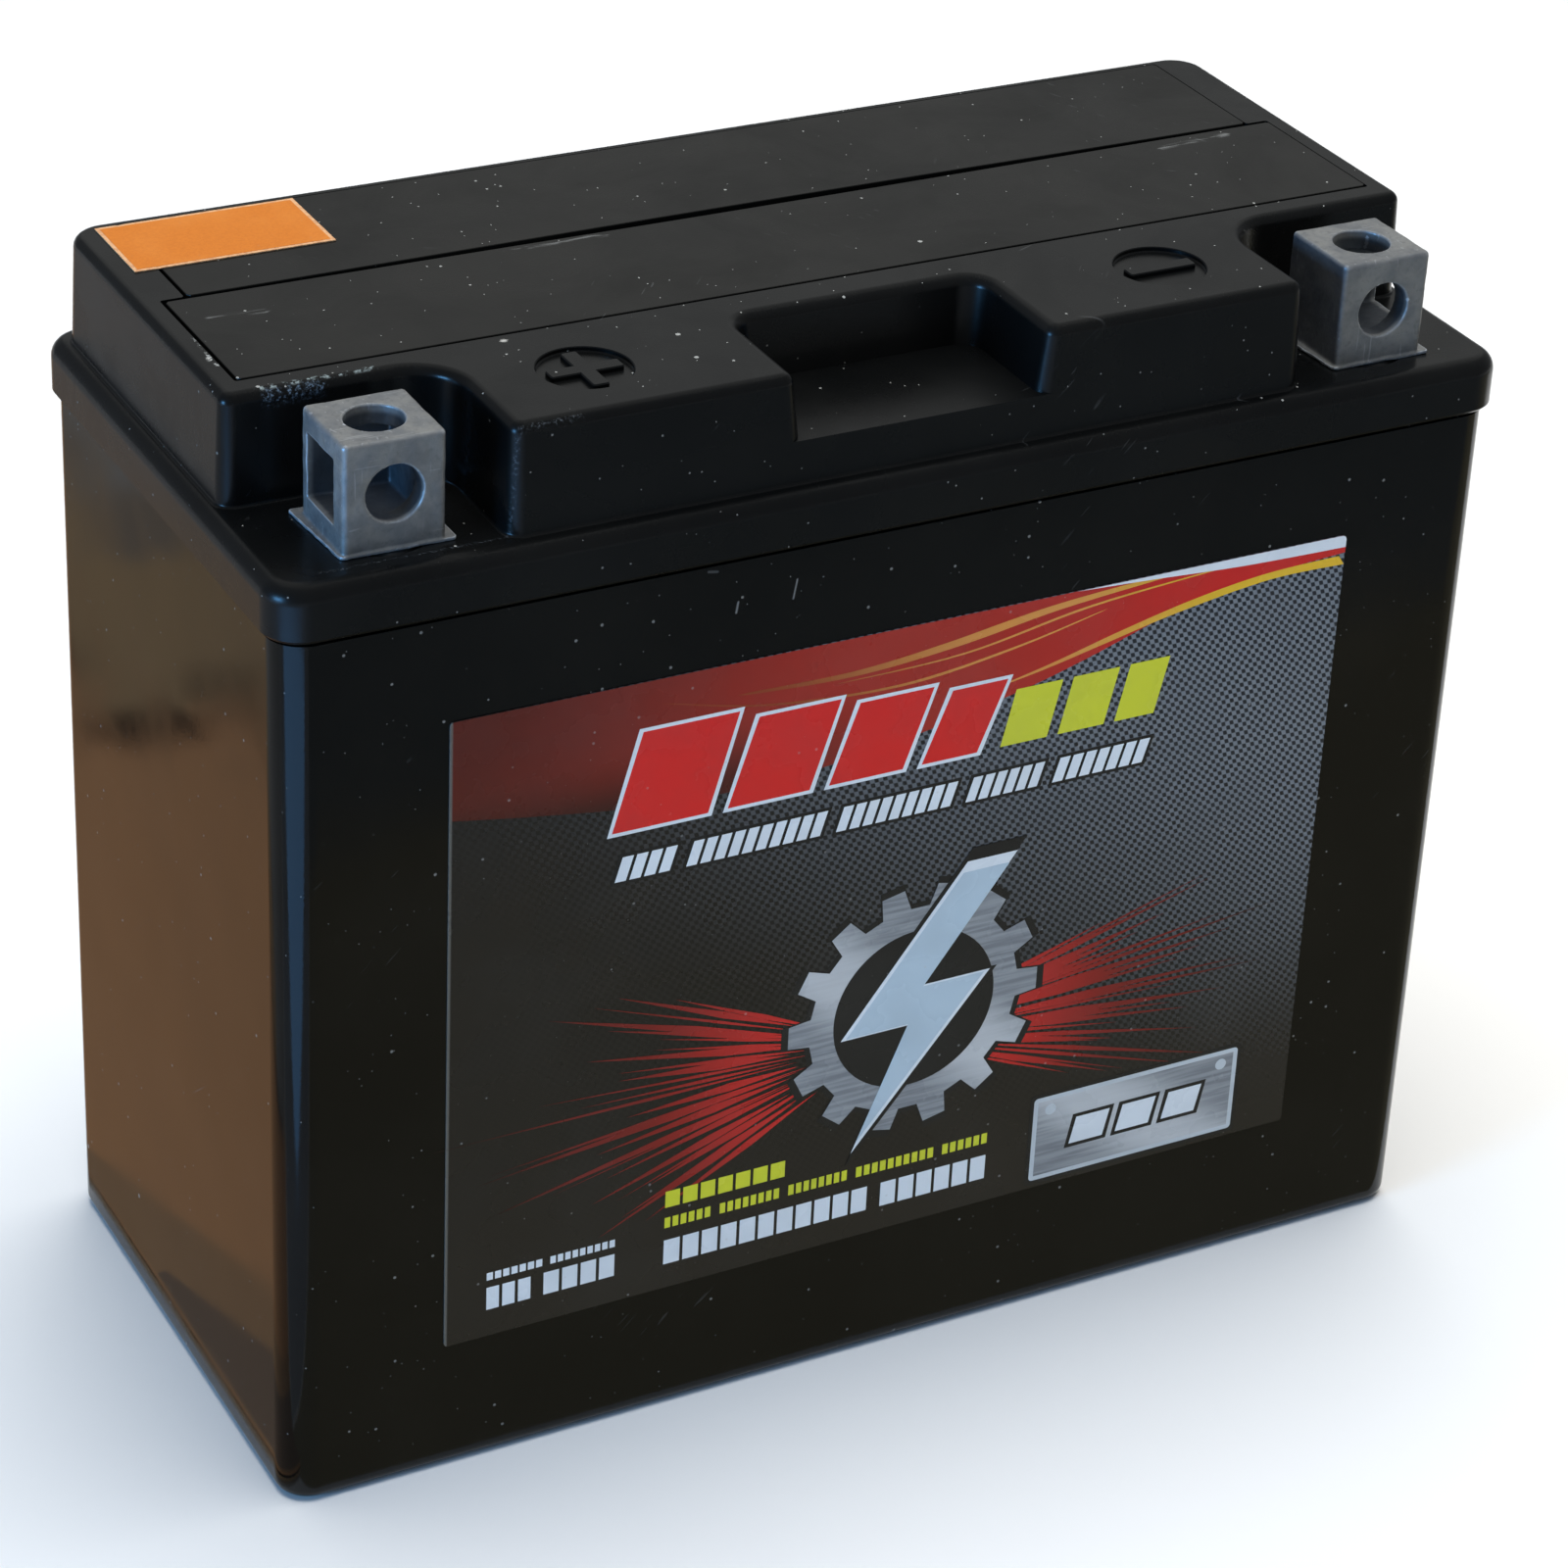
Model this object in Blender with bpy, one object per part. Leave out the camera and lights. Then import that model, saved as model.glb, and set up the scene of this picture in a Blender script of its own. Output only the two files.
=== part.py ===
"""A sealed 12 V motorcycle battery: six cells in one case, a lid block with two corner terminals.

Units are metres. The origin is at the bottom centre of the case, +X runs along the length from the positive
to the negative terminal, -Y is the labelled front and +Z is up.
"""
import math

import bmesh
import bpy

MM = 0.001
CLEARANCE = 0.3 * MM
THIN_CLEARANCE = 0.2 * MM
SMALLEST_RADIUS = 0.05 * MM

# Overall size
LENGTH = 150.0 * MM
WIDTH = 69.4 * MM
HEIGHT = 128.0 * MM

# Case
BAND_OVERHANG = 0.8 * MM
CASE_X = LENGTH / 2 - BAND_OVERHANG
CASE_Y = WIDTH / 2 - BAND_OVERHANG
CASE_CORNER = 4.0 * MM
CASE_BOTTOM_EDGE = 1.4 * MM
SIDE_WALL = 2.8 * MM
FLOOR = 2.6 * MM
REST_RIB_HEIGHT = 1.5 * MM
REST_RIB_WIDTH = 2.4 * MM
REST_RIB_Y = 16.0 * MM
TONGUE_STEP = 1.1 * MM

# Lid band and lid block
BAND_BOTTOM = 109.0 * MM
BAND_TOP = 115.4 * MM
BAND_CORNER = 4.4 * MM
BAND_EDGE = 2.0 * MM
BAND_CHAMFER = 0.5 * MM
DECK_UNDERSIDE = 112.6 * MM
TONGUE_TOP = DECK_UNDERSIDE - CLEARANCE
BLOCK_X = LENGTH / 2 - 2.0 * MM
BLOCK_BACK = WIDTH / 2 - 1.4 * MM
BLOCK_FRONT = -(WIDTH / 2 - 2.3 * MM)
BLOCK_DRAFT = 0.04
BLOCK_EDGE = 1.2 * MM
BLOCK_CORNER = 4.5 * MM
BLOCK_SHARP_CORNER = 2.0 * MM
LID_WALL = 2.2 * MM
BLOCK_BACK_WALL = 2.8 * MM
HOLLOW_INSET = 0.9 * MM

# Corner recesses for the terminals and the notch in the middle of the front
RECESS_X = 48.3 * MM
RECESS_BACK = -15.0 * MM
RECESS_CORNER = 5.5 * MM
NOTCH_HALF = 14.4 * MM
NOTCH_BACK = -17.0 * MM
NOTCH_FLOOR = 120.4 * MM
NOTCH_DRAFT = 0.13
NOTCH_CORNER = 2.4 * MM

# The two plates let into the top of the lid
PLATE_POCKET_FLOOR = 126.0 * MM
PLUG_POCKET_X = 69.8 * MM
PLUG_POCKET_FRONT = -11.3 * MM
PLATE_SPLIT = 10.4 * MM
VENT_POCKET_X = 67.0 * MM
VENT_POCKET_BACK = 31.2 * MM
PLATE_GAP_OPEN = 0.45 * MM
PLATE_GAP_TIGHT = 0.3 * MM
COVER_CORNER = 0.4 * MM

# Valve chamber, valve necks and rubber caps
CHAMBER_X = 65.8 * MM
CHAMBER_FRONT = 12.0 * MM
CHAMBER_BACK = 29.6 * MM
CHAMBER_FLOOR = 119.5 * MM
CHAMBER_FLOOR_THICKNESS = 2.5 * MM
VALVE_Y = 20.8 * MM
NECK_RADIUS = 3.7 * MM
NECK_BORE = 2.3 * MM
NECK_TOP = 123.4 * MM
CAP_SKIRT = 1.1 * MM
CAP_TOP = 1.3 * MM
CAP_FOOT_GAP = 0.5 * MM

# Filler plugs under the front plate
PLUG_Y = -0.6 * MM
PLUG_RADIUS = 4.5 * MM
PLUG_WALL = 1.2 * MM
PLUG_LENGTH = 4.6 * MM
PLUG_CLEARANCE = 0.4 * MM

# Terminals
TERMINAL_X = 60.0 * MM
TERMINAL_Y = -24.5 * MM
TERMINAL_WIDTH = 11.4 * MM
TERMINAL_DEPTH = 11.0 * MM
TERMINAL_EDGE = 0.45 * MM
TERMINAL_CORNER = 0.6 * MM
SKIRT_REACH = 1.1 * MM
SKIRT_THICKNESS = 0.6 * MM
BOLT_HOLE = 3.2 * MM
NUT_SPACE_LOW = 118.2 * MM
NUT_SPACE_HIGH = 125.6 * MM
NUT_SPACE_FRONT = -27.5 * MM
NUT_SPACE_BACK = -20.5 * MM
NUT_SPACE_INNER_WALL = 2.2 * MM
SHANK_RADIUS = 4.0 * MM
SHANK_BORE = 4.4 * MM
SHANK_BOTTOM = 108.2 * MM
BOSS_RADIUS = 6.2 * MM
BOSS_BOTTOM = 110.0 * MM
SEAL_POCKET_RADIUS = 6.4 * MM
SEAL_POCKET_DEPTH = 1.4 * MM
SEAL_RING_RADIUS = 5.3 * MM
SEAL_SECTION = 0.55 * MM

# Cells
CELLS = 6
PARTITION = 1.5 * MM
INNER_X = CASE_X - SIDE_WALL
INNER_Y = CASE_Y - SIDE_WALL
CELL_WIDTH = (2 * INNER_X - (CELLS - 1) * PARTITION) / CELLS
CELL_PITCH = CELL_WIDTH + PARTITION
PLATES_PER_CELL = 9
NEGATIVE_PLATE = 1.3 * MM
POSITIVE_PLATE = 1.7 * MM
GLASS_MAT = 0.65 * MM
PLATE_BOTTOM = FLOOR + REST_RIB_HEIGHT + CLEARANCE
PLATE_TOP = 88.0 * MM
PLATE_Y = 29.4 * MM
MAT_TOP = 90.4 * MM
FOLD_CLEARANCE = 0.5 * MM
STRAP_Y = 20.5 * MM
STRAP_DEPTH = 11.0 * MM
STRAP_BOTTOM = 94.5 * MM
STRAP_TOP = 99.0 * MM
LUG_DEPTH = 8.0 * MM
WELD_TAB = 2.4 * MM
WELD_TAB_TOP = 107.4 * MM
WELD_Z = 103.4 * MM
WELD_HOLE = 3.6 * MM
WELD_TAB_INSET = 0.5 * MM
PLATE_RECESS = 0.05 * MM
TAB_RECESS = 0.02 * MM
POST_TOP = SHANK_BOTTOM - CLEARANCE

# Stickers
LABEL_X = 55.5 * MM
LABEL_LOW = 16.6 * MM
LABEL_HIGH = 96.4 * MM
LABEL_CORNER = 1.2 * MM
STICKER_THICKNESS = 0.2 * MM
TOP_STICKER_LEFT = -69.6 * MM
TOP_STICKER_RIGHT = -46.3 * MM
TOP_STICKER_FRONT = 18.2 * MM
TOP_STICKER_BACK = 30.8 * MM

ROUND_SEGMENTS = 16
OVERLAP = 1.0 * MM


def clear_scene():
    for item in list(bpy.data.objects):
        bpy.data.objects.remove(item, do_unlink=True)


def material(name, color, roughness, metallic=0.0):
    made = bpy.data.materials.new(name)
    made.use_nodes = True
    shader = made.node_tree.nodes["Principled BSDF"]
    shader.inputs["Base Color"].default_value = (*color, 1.0)
    shader.inputs["Roughness"].default_value = roughness
    shader.inputs["Metallic"].default_value = metallic
    made.diffuse_color = (*color, 1.0)
    return made


# ---------------------------------------------------------------- outlines and meshes


def rounded_outline(corners, inset=0.0):
    """The outline through counter-clockwise (x, y, radius, segments) corners, moved inwards by inset.

    An outer corner's radius shrinks as the outline moves in, and an inner corner's grows.
    """
    count = len(corners)
    points = []
    for index, (x, y, radius, segments) in enumerate(corners):
        before = corners[index - 1]
        after = corners[(index + 1) % count]
        way_in = unit(x - before[0], y - before[1])
        way_out = unit(after[0] - x, after[1] - y)
        turn = way_in[0] * way_out[1] - way_in[1] * way_out[0]
        side = 1.0 if turn > 0 else -1.0
        corner_x = x - inset * (way_in[1] + way_out[1])
        corner_y = y + inset * (way_in[0] + way_out[0])
        moved_radius = max(radius - side * inset, SMALLEST_RADIUS)
        centre_x = corner_x + moved_radius * (way_out[0] - way_in[0])
        centre_y = corner_y + moved_radius * (way_out[1] - way_in[1])
        start = math.atan2(-side * way_in[0], side * way_in[1])
        for step in range(segments + 1):
            angle = start + side * step * (math.pi / 2) / segments
            x_point = centre_x + moved_radius * math.cos(angle)
            y_point = centre_y + moved_radius * math.sin(angle)
            points.append((x_point, y_point))
    return points


def unit(x, y):
    length = math.hypot(x, y)
    return x / length, y / length


def rectangle(x_low, x_high, y_low, y_high, radius, segments):
    return [
        (x_low, y_low, radius, segments),
        (x_high, y_low, radius, segments),
        (x_high, y_high, radius, segments),
        (x_low, y_high, radius, segments),
    ]


def loft(shape, rings):
    """Add a closed body to the bmesh: rings of points from the bottom up, capped at both ends."""
    loops = [[shape.verts.new(point) for point in ring] for ring in rings]
    count = len(loops[0])
    for low, high in zip(loops, loops[1:]):
        for index in range(count):
            after = (index + 1) % count
            shape.faces.new((low[index], low[after], high[after], high[index]))
    shape.faces.new(list(reversed(loops[0])))
    shape.faces.new(loops[-1])


def box(shape, x_low, x_high, y_low, y_high, z_low, z_high):
    outline = [(x_low, y_low), (x_high, y_low), (x_high, y_high), (x_low, y_high)]
    loft(shape, [[(x, y, z) for x, y in outline] for z in (z_low, z_high)])


def cylinder(shape, x, y, radius, z_low, z_high, segments=ROUND_SEGMENTS):
    angles = [2 * math.pi * (index + 0.5) / segments for index in range(segments)]
    outline = [(x + radius * math.cos(angle), y + radius * math.sin(angle)) for angle in angles]
    loft(shape, [[(px, py, z) for px, py in outline] for z in (z_low, z_high)])


def cylinder_along_x(shape, y, z, radius, x_low, x_high, segments=ROUND_SEGMENTS):
    angles = [2 * math.pi * (index + 0.5) / segments for index in range(segments)]
    outline = [(y + radius * math.cos(angle), z + radius * math.sin(angle)) for angle in angles]
    loft(shape, [[(x, py, pz) for py, pz in outline] for x in (x_low, x_high)])


def cylinder_along_y(shape, x, z, radius, y_low, y_high, segments=ROUND_SEGMENTS):
    angles = [-2 * math.pi * (index + 0.5) / segments for index in range(segments)]
    outline = [(x + radius * math.cos(angle), z + radius * math.sin(angle)) for angle in angles]
    loft(shape, [[(px, y, pz) for px, pz in outline] for y in (y_low, y_high)])


def prism_along_x(shape, outline, x_low, x_high):
    """Extrude a counter-clockwise (y, z) outline along X."""
    loft(shape, [[(x, y, z) for y, z in outline] for x in (x_low, x_high)])


def turned(shape, x, y, profile, segments=ROUND_SEGMENTS):
    """Turn a closed (radius, z) profile, given counter-clockwise, round the vertical line through (x, y)."""
    angles = [2 * math.pi * (index + 0.5) / segments for index in range(segments)]
    rows = []
    for radius, z in profile:
        if radius < 1e-7:
            rows.append([shape.verts.new((x, y, z))] * segments)
        else:
            ring = [(x + radius * math.cos(a), y + radius * math.sin(a), z) for a in angles]
            rows.append([shape.verts.new(point) for point in ring])
    for row, following in zip(rows, rows[1:] + rows[:1]):
        for index in range(segments):
            after = (index + 1) % segments
            corners = [row[index], row[after], following[after], following[index]]
            distinct = list(dict.fromkeys(corners))
            if len(distinct) > 2:
                shape.faces.new(distinct)


def turned_solid(shape, x, y, profile, segments=ROUND_SEGMENTS):
    """Turn an open (radius, z) profile that starts and ends on the axis, bottom first."""
    angles = [2 * math.pi * (index + 0.5) / segments for index in range(segments)]
    rings = []
    for radius, z in profile[1:-1]:
        rings.append([(x + radius * math.cos(a), y + radius * math.sin(a), z) for a in angles])
    loft(shape, rings)


def make_object(name, shape, look=None, smooth=False):
    bmesh.ops.recalc_face_normals(shape, faces=shape.faces)
    mesh = bpy.data.meshes.new(name)
    shape.to_mesh(mesh)
    shape.free()
    if smooth:
        mesh.shade_smooth()
        mesh.set_sharp_from_angle(angle=math.radians(35))
    made = bpy.data.objects.new(name, mesh)
    bpy.context.scene.collection.objects.link(made)
    if look is not None:
        mesh.materials.append(look)
    return made


def combine(target, tool_name, shape, operation):
    """Join the bmesh to the target, or cut it out, with an exact Boolean."""
    tool = make_object(tool_name, shape)
    tool.hide_render = True
    tool.display_type = "WIRE"
    modifier = target.modifiers.new(tool_name, "BOOLEAN")
    modifier.operation = operation
    modifier.solver = "EXACT"
    modifier.object = tool


# ---------------------------------------------------------------- places that several parts share


def cell_centre(cell):
    """The middle of a cell along X; cell 0 is under the positive terminal."""
    return -INNER_X + CELL_WIDTH / 2 + cell * CELL_PITCH


def strap_side(cell, positive):
    """The sign of Y of a cell's strap: the sides alternate, so that neighbours meet at a partition."""
    at_front = (cell % 2 == 0) == positive
    return -1.0 if at_front else 1.0


def plate_stack(cell):
    """(low x, thickness, positive) of each plate of a cell, negative plates outermost."""
    thicknesses = [POSITIVE_PLATE if index % 2 else NEGATIVE_PLATE for index in range(PLATES_PER_CELL)]
    spaces = PLATES_PER_CELL - 1
    total = sum(thicknesses) + spaces * (GLASS_MAT + 2 * THIN_CLEARANCE)
    x = cell_centre(cell) - total / 2
    stack = []
    for index, thickness in enumerate(thicknesses):
        stack.append((x, thickness, index % 2 == 1))
        x += thickness + GLASS_MAT + 2 * THIN_CLEARANCE
    return stack


# ---------------------------------------------------------------- case


def build_container(look):
    corners = rectangle(-CASE_X, CASE_X, -CASE_Y, CASE_Y, CASE_CORNER, 6)
    shoulder = BAND_BOTTOM - CLEARANCE
    levels = [(0.0, CASE_BOTTOM_EDGE)]
    levels.append((CASE_BOTTOM_EDGE * 0.3, CASE_BOTTOM_EDGE * 0.3))
    levels.append((CASE_BOTTOM_EDGE, 0.0))
    levels.append((shoulder, 0.0))
    levels.append((shoulder, TONGUE_STEP))
    levels.append((TONGUE_TOP, TONGUE_STEP))
    shape = bmesh.new()
    loft(shape, [[(x, y, z) for x, y in rounded_outline(corners, inset)] for z, inset in levels])
    container = make_object("container", shape, look)

    cells = bmesh.new()
    rib_top = FLOOR + REST_RIB_HEIGHT
    above = TONGUE_TOP + OVERLAP
    outline = [(-INNER_Y, above), (-INNER_Y, FLOOR)]
    for rib_y in (-REST_RIB_Y, REST_RIB_Y):
        half = REST_RIB_WIDTH / 2
        outline.append((rib_y - half, FLOOR))
        outline.append((rib_y - half / 2, rib_top))
        outline.append((rib_y + half / 2, rib_top))
        outline.append((rib_y + half, FLOOR))
    outline += [(INNER_Y, FLOOR), (INNER_Y, above)]
    for cell in range(CELLS):
        middle = cell_centre(cell)
        prism_along_x(cells, outline, middle - CELL_WIDTH / 2, middle + CELL_WIDTH / 2)
    combine(container, "cells_cutter", cells, "DIFFERENCE")

    holes = bmesh.new()
    for cell in range(CELLS - 1):
        wall = cell_centre(cell) + CELL_PITCH / 2
        y = strap_side(cell, positive=False) * STRAP_Y
        cylinder_along_x(holes, y, WELD_Z, WELD_HOLE, wall - PARTITION, wall + PARTITION)
    combine(container, "weld_hole_cutter", holes, "DIFFERENCE")
    return container


# ---------------------------------------------------------------- lid


def band_rings():
    corners = rectangle(-LENGTH / 2, LENGTH / 2, -WIDTH / 2, WIDTH / 2, BAND_CORNER, 6)
    levels = [(BAND_BOTTOM, BAND_CHAMFER), (BAND_BOTTOM + BAND_CHAMFER, 0.0)]
    steps = 4
    for step in range(steps + 1):
        angle = step * (math.pi / 2) / steps
        levels.append((BAND_TOP - BAND_EDGE * (1 - math.sin(angle)), BAND_EDGE * (1 - math.cos(angle))))
    return [[(x, y, z) for x, y in rounded_outline(corners, inset)] for z, inset in levels]


def block_rings():
    corners = [
        (-RECESS_X, BLOCK_FRONT, BLOCK_SHARP_CORNER, 4),
        (RECESS_X, BLOCK_FRONT, BLOCK_SHARP_CORNER, 4),
        (RECESS_X, RECESS_BACK, RECESS_CORNER, 6),
        (BLOCK_X, RECESS_BACK, BLOCK_SHARP_CORNER, 4),
        (BLOCK_X, BLOCK_BACK, BLOCK_CORNER, 6),
        (-BLOCK_X, BLOCK_BACK, BLOCK_CORNER, 6),
        (-BLOCK_X, RECESS_BACK, BLOCK_SHARP_CORNER, 4),
        (-RECESS_X, RECESS_BACK, RECESS_CORNER, 6),
    ]
    levels = [(BAND_TOP - OVERLAP, 0.0), (BAND_TOP, 0.0)]
    steps = 3
    for step in range(steps + 1):
        angle = step * (math.pi / 2) / steps
        z = HEIGHT - BLOCK_EDGE * (1 - math.sin(angle))
        levels.append((z, BLOCK_DRAFT * (z - BAND_TOP) + BLOCK_EDGE * (1 - math.cos(angle))))
    return [[(x, y, z) for x, y in rounded_outline(corners, inset)] for z, inset in levels]


def notch_outline(z):
    """The notch at height z: square inner corners rounded, outer corners flared into the front wall."""
    half = NOTCH_HALF + NOTCH_DRAFT * (z - NOTCH_FLOOR)
    back = NOTCH_BACK + NOTCH_DRAFT * (z - NOTCH_FLOOR)
    front = BLOCK_FRONT + BLOCK_DRAFT * (z - BAND_TOP)
    outside = front - 2 * OVERLAP
    segments = 4
    half_outline = []
    for step in range(segments + 1):
        angle = step * (math.pi / 2) / segments
        half_outline.append((
            half + BLOCK_SHARP_CORNER * (1 - math.sin(angle)),
            front + BLOCK_SHARP_CORNER * (1 - math.cos(angle)),
        ))
    for step in range(segments + 1):
        angle = step * (math.pi / 2) / segments
        half_outline.append((
            half - NOTCH_CORNER * (1 - math.cos(angle)),
            back - NOTCH_CORNER * (1 - math.sin(angle)),
        ))
    right = [(half + BLOCK_SHARP_CORNER, outside)] + half_outline
    left = [(-x, y) for x, y in reversed(right)]
    return right + left


def underside_outline(cell):
    """The (y, z) outline of the hollow under the lid block over one cell."""
    below = DECK_UNDERSIDE - OVERLAP
    back = BLOCK_BACK - BLOCK_BACK_WALL
    chamber_ceiling = CHAMBER_FLOOR - CHAMBER_FLOOR_THICKNESS
    wall = CHAMBER_FRONT - LID_WALL
    plate_ceiling = PLATE_POCKET_FLOOR - LID_WALL
    outline = [(back, below), (back, chamber_ceiling), (wall, chamber_ceiling), (wall, plate_ceiling)]
    front = BLOCK_FRONT + LID_WALL
    if cell in (0, CELLS - 1):
        hollow_front = RECESS_BACK + LID_WALL
        outline += [(hollow_front, plate_ceiling), (hollow_front, below)]
    elif cell in (1, CELLS - 2):
        step_y = PLUG_POCKET_FRONT - LID_WALL
        high = HEIGHT - LID_WALL
        outline += [(step_y, plate_ceiling), (step_y, high), (front, high), (front, below)]
    else:
        notch_back_at_top = NOTCH_BACK + NOTCH_DRAFT * (HEIGHT - NOTCH_FLOOR)
        step_y = notch_back_at_top + LID_WALL
        high = NOTCH_FLOOR - LID_WALL
        outline += [(step_y, plate_ceiling), (step_y, high), (front, high), (front, below)]
    return outline


def build_lid(look):
    shape = bmesh.new()
    loft(shape, band_rings())
    lid = make_object("lid", shape, look)

    block = bmesh.new()
    loft(block, block_rings())
    combine(lid, "block_body", block, "UNION")

    notch = bmesh.new()
    top = HEIGHT + OVERLAP
    loft(notch, [[(x, y, z) for x, y in notch_outline(z)] for z in (NOTCH_FLOOR, top)])
    combine(lid, "notch_cutter", notch, "DIFFERENCE")

    skirt = bmesh.new()
    reach = TONGUE_STEP - CLEARANCE
    corners = rectangle(-CASE_X, CASE_X, -CASE_Y, CASE_Y, CASE_CORNER, 6)
    outline = rounded_outline(corners, reach)
    loft(skirt, [[(x, y, z) for x, y in outline] for z in (BAND_BOTTOM - OVERLAP, DECK_UNDERSIDE)])
    combine(lid, "skirt_cutter", skirt, "DIFFERENCE")

    hollows = bmesh.new()
    half = CELL_WIDTH / 2 - HOLLOW_INSET
    for cell in range(CELLS):
        middle = cell_centre(cell)
        prism_along_x(hollows, underside_outline(cell), middle - half, middle + half)
    combine(lid, "hollow_cutter", hollows, "DIFFERENCE")

    pocket = bmesh.new()
    outline = [
        (-PLUG_POCKET_X, PLUG_POCKET_FRONT),
        (PLUG_POCKET_X, PLUG_POCKET_FRONT),
        (PLUG_POCKET_X, PLATE_SPLIT),
        (VENT_POCKET_X, PLATE_SPLIT),
        (VENT_POCKET_X, VENT_POCKET_BACK),
        (-VENT_POCKET_X, VENT_POCKET_BACK),
        (-VENT_POCKET_X, PLATE_SPLIT),
        (-PLUG_POCKET_X, PLATE_SPLIT),
    ]
    loft(pocket, [[(x, y, z) for x, y in outline] for z in (PLATE_POCKET_FLOOR, top)])
    combine(lid, "plate_pocket_cutter", pocket, "DIFFERENCE")

    chamber = bmesh.new()
    above = PLATE_POCKET_FLOOR + OVERLAP
    box(chamber, -CHAMBER_X, CHAMBER_X, CHAMBER_FRONT, CHAMBER_BACK, CHAMBER_FLOOR, above)
    combine(lid, "chamber_cutter", chamber, "DIFFERENCE")

    bodies = bmesh.new()
    for cell in range(CELLS):
        cylinder(bodies, cell_centre(cell), VALVE_Y, NECK_RADIUS, CHAMBER_FLOOR - OVERLAP, NECK_TOP)
    for side in (-1, 1):
        cylinder(bodies, side * TERMINAL_X, TERMINAL_Y, BOSS_RADIUS, BOSS_BOTTOM, DECK_UNDERSIDE + OVERLAP)
    combine(lid, "neck_and_boss_bodies", bodies, "UNION")

    bores = bmesh.new()
    floor_low = CHAMBER_FLOOR - CHAMBER_FLOOR_THICKNESS - OVERLAP
    plate_low = PLATE_POCKET_FLOOR - LID_WALL - OVERLAP
    for cell in range(CELLS):
        middle = cell_centre(cell)
        cylinder(bores, middle, VALVE_Y, NECK_BORE, floor_low, NECK_TOP + OVERLAP)
        cylinder(bores, middle, PLUG_Y, PLUG_RADIUS + PLUG_CLEARANCE, plate_low, above)
    seal_floor = BAND_TOP - SEAL_POCKET_DEPTH
    for side in (-1, 1):
        profile = [
            (0.0, BOSS_BOTTOM - OVERLAP),
            (SHANK_BORE, BOSS_BOTTOM - OVERLAP),
            (SHANK_BORE, seal_floor),
            (SEAL_POCKET_RADIUS, seal_floor),
            (SEAL_POCKET_RADIUS, BAND_TOP + OVERLAP),
            (0.0, BAND_TOP + OVERLAP),
        ]
        turned_solid(bores, side * TERMINAL_X, TERMINAL_Y, profile)
    combine(lid, "bore_cutter", bores, "DIFFERENCE")
    return lid


# ---------------------------------------------------------------- plates in the lid, valve caps


def build_plug_strip(look):
    """The front plate, with a hollow plug for each cell's filler hole on its underside."""
    shape = bmesh.new()
    low = PLATE_POCKET_FLOOR + CLEARANCE
    x_low = -PLUG_POCKET_X + PLATE_GAP_OPEN
    x_high = PLUG_POCKET_X - PLATE_GAP_TIGHT
    y_low = PLUG_POCKET_FRONT + PLATE_GAP_OPEN
    y_high = PLATE_SPLIT - PLATE_GAP_OPEN
    box(shape, x_low, x_high, y_low, y_high, low, HEIGHT)
    strip = make_object("plug_strip", shape, look)
    plugs = bmesh.new()
    hollows = bmesh.new()
    tip = PLATE_POCKET_FLOOR - PLUG_LENGTH
    for cell in range(CELLS):
        middle = cell_centre(cell)
        cylinder(plugs, middle, PLUG_Y, PLUG_RADIUS, tip, low + OVERLAP / 2)
        cylinder(hollows, middle, PLUG_Y, PLUG_RADIUS - PLUG_WALL, tip - OVERLAP, low - OVERLAP / 2)
    combine(strip, "plug_bodies", plugs, "UNION")
    combine(strip, "plug_hollow_cutter", hollows, "DIFFERENCE")
    return strip


def build_vent_cover(look):
    shape = bmesh.new()
    corners = rectangle(
        -VENT_POCKET_X + PLATE_GAP_OPEN,
        VENT_POCKET_X - PLATE_GAP_TIGHT,
        PLATE_SPLIT + THIN_CLEARANCE,
        VENT_POCKET_BACK - PLATE_GAP_TIGHT,
        COVER_CORNER,
        2,
    )
    outline = rounded_outline(corners)
    low = PLATE_POCKET_FLOOR + CLEARANCE
    loft(shape, [[(x, y, z) for x, y in outline] for z in (low, HEIGHT)])
    return make_object("vent_cover", shape, look)


def build_valve_cap(cell, look):
    """A rubber cup over a valve neck, with its origin on the neck's axis."""
    inner = NECK_RADIUS + CLEARANCE
    outer = inner + CAP_SKIRT
    foot = CHAMBER_FLOOR + CAP_FOOT_GAP
    ceiling = NECK_TOP + CLEARANCE
    crown = ceiling + CAP_TOP
    edge = 0.5 * MM
    profile = [
        (0.0, ceiling),
        (inner, ceiling),
        (inner, foot),
        (outer, foot),
        (outer, crown - edge),
        (outer - edge, crown),
        (0.0, crown),
    ]
    shape = bmesh.new()
    turned(shape, 0.0, 0.0, [(radius, z - foot) for radius, z in profile])
    cap = make_object(f"valve_cap_{cell + 1}", shape, look, smooth=True)
    cap.location = (cell_centre(cell), VALVE_Y, foot)
    return cap


# ---------------------------------------------------------------- terminals


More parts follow.
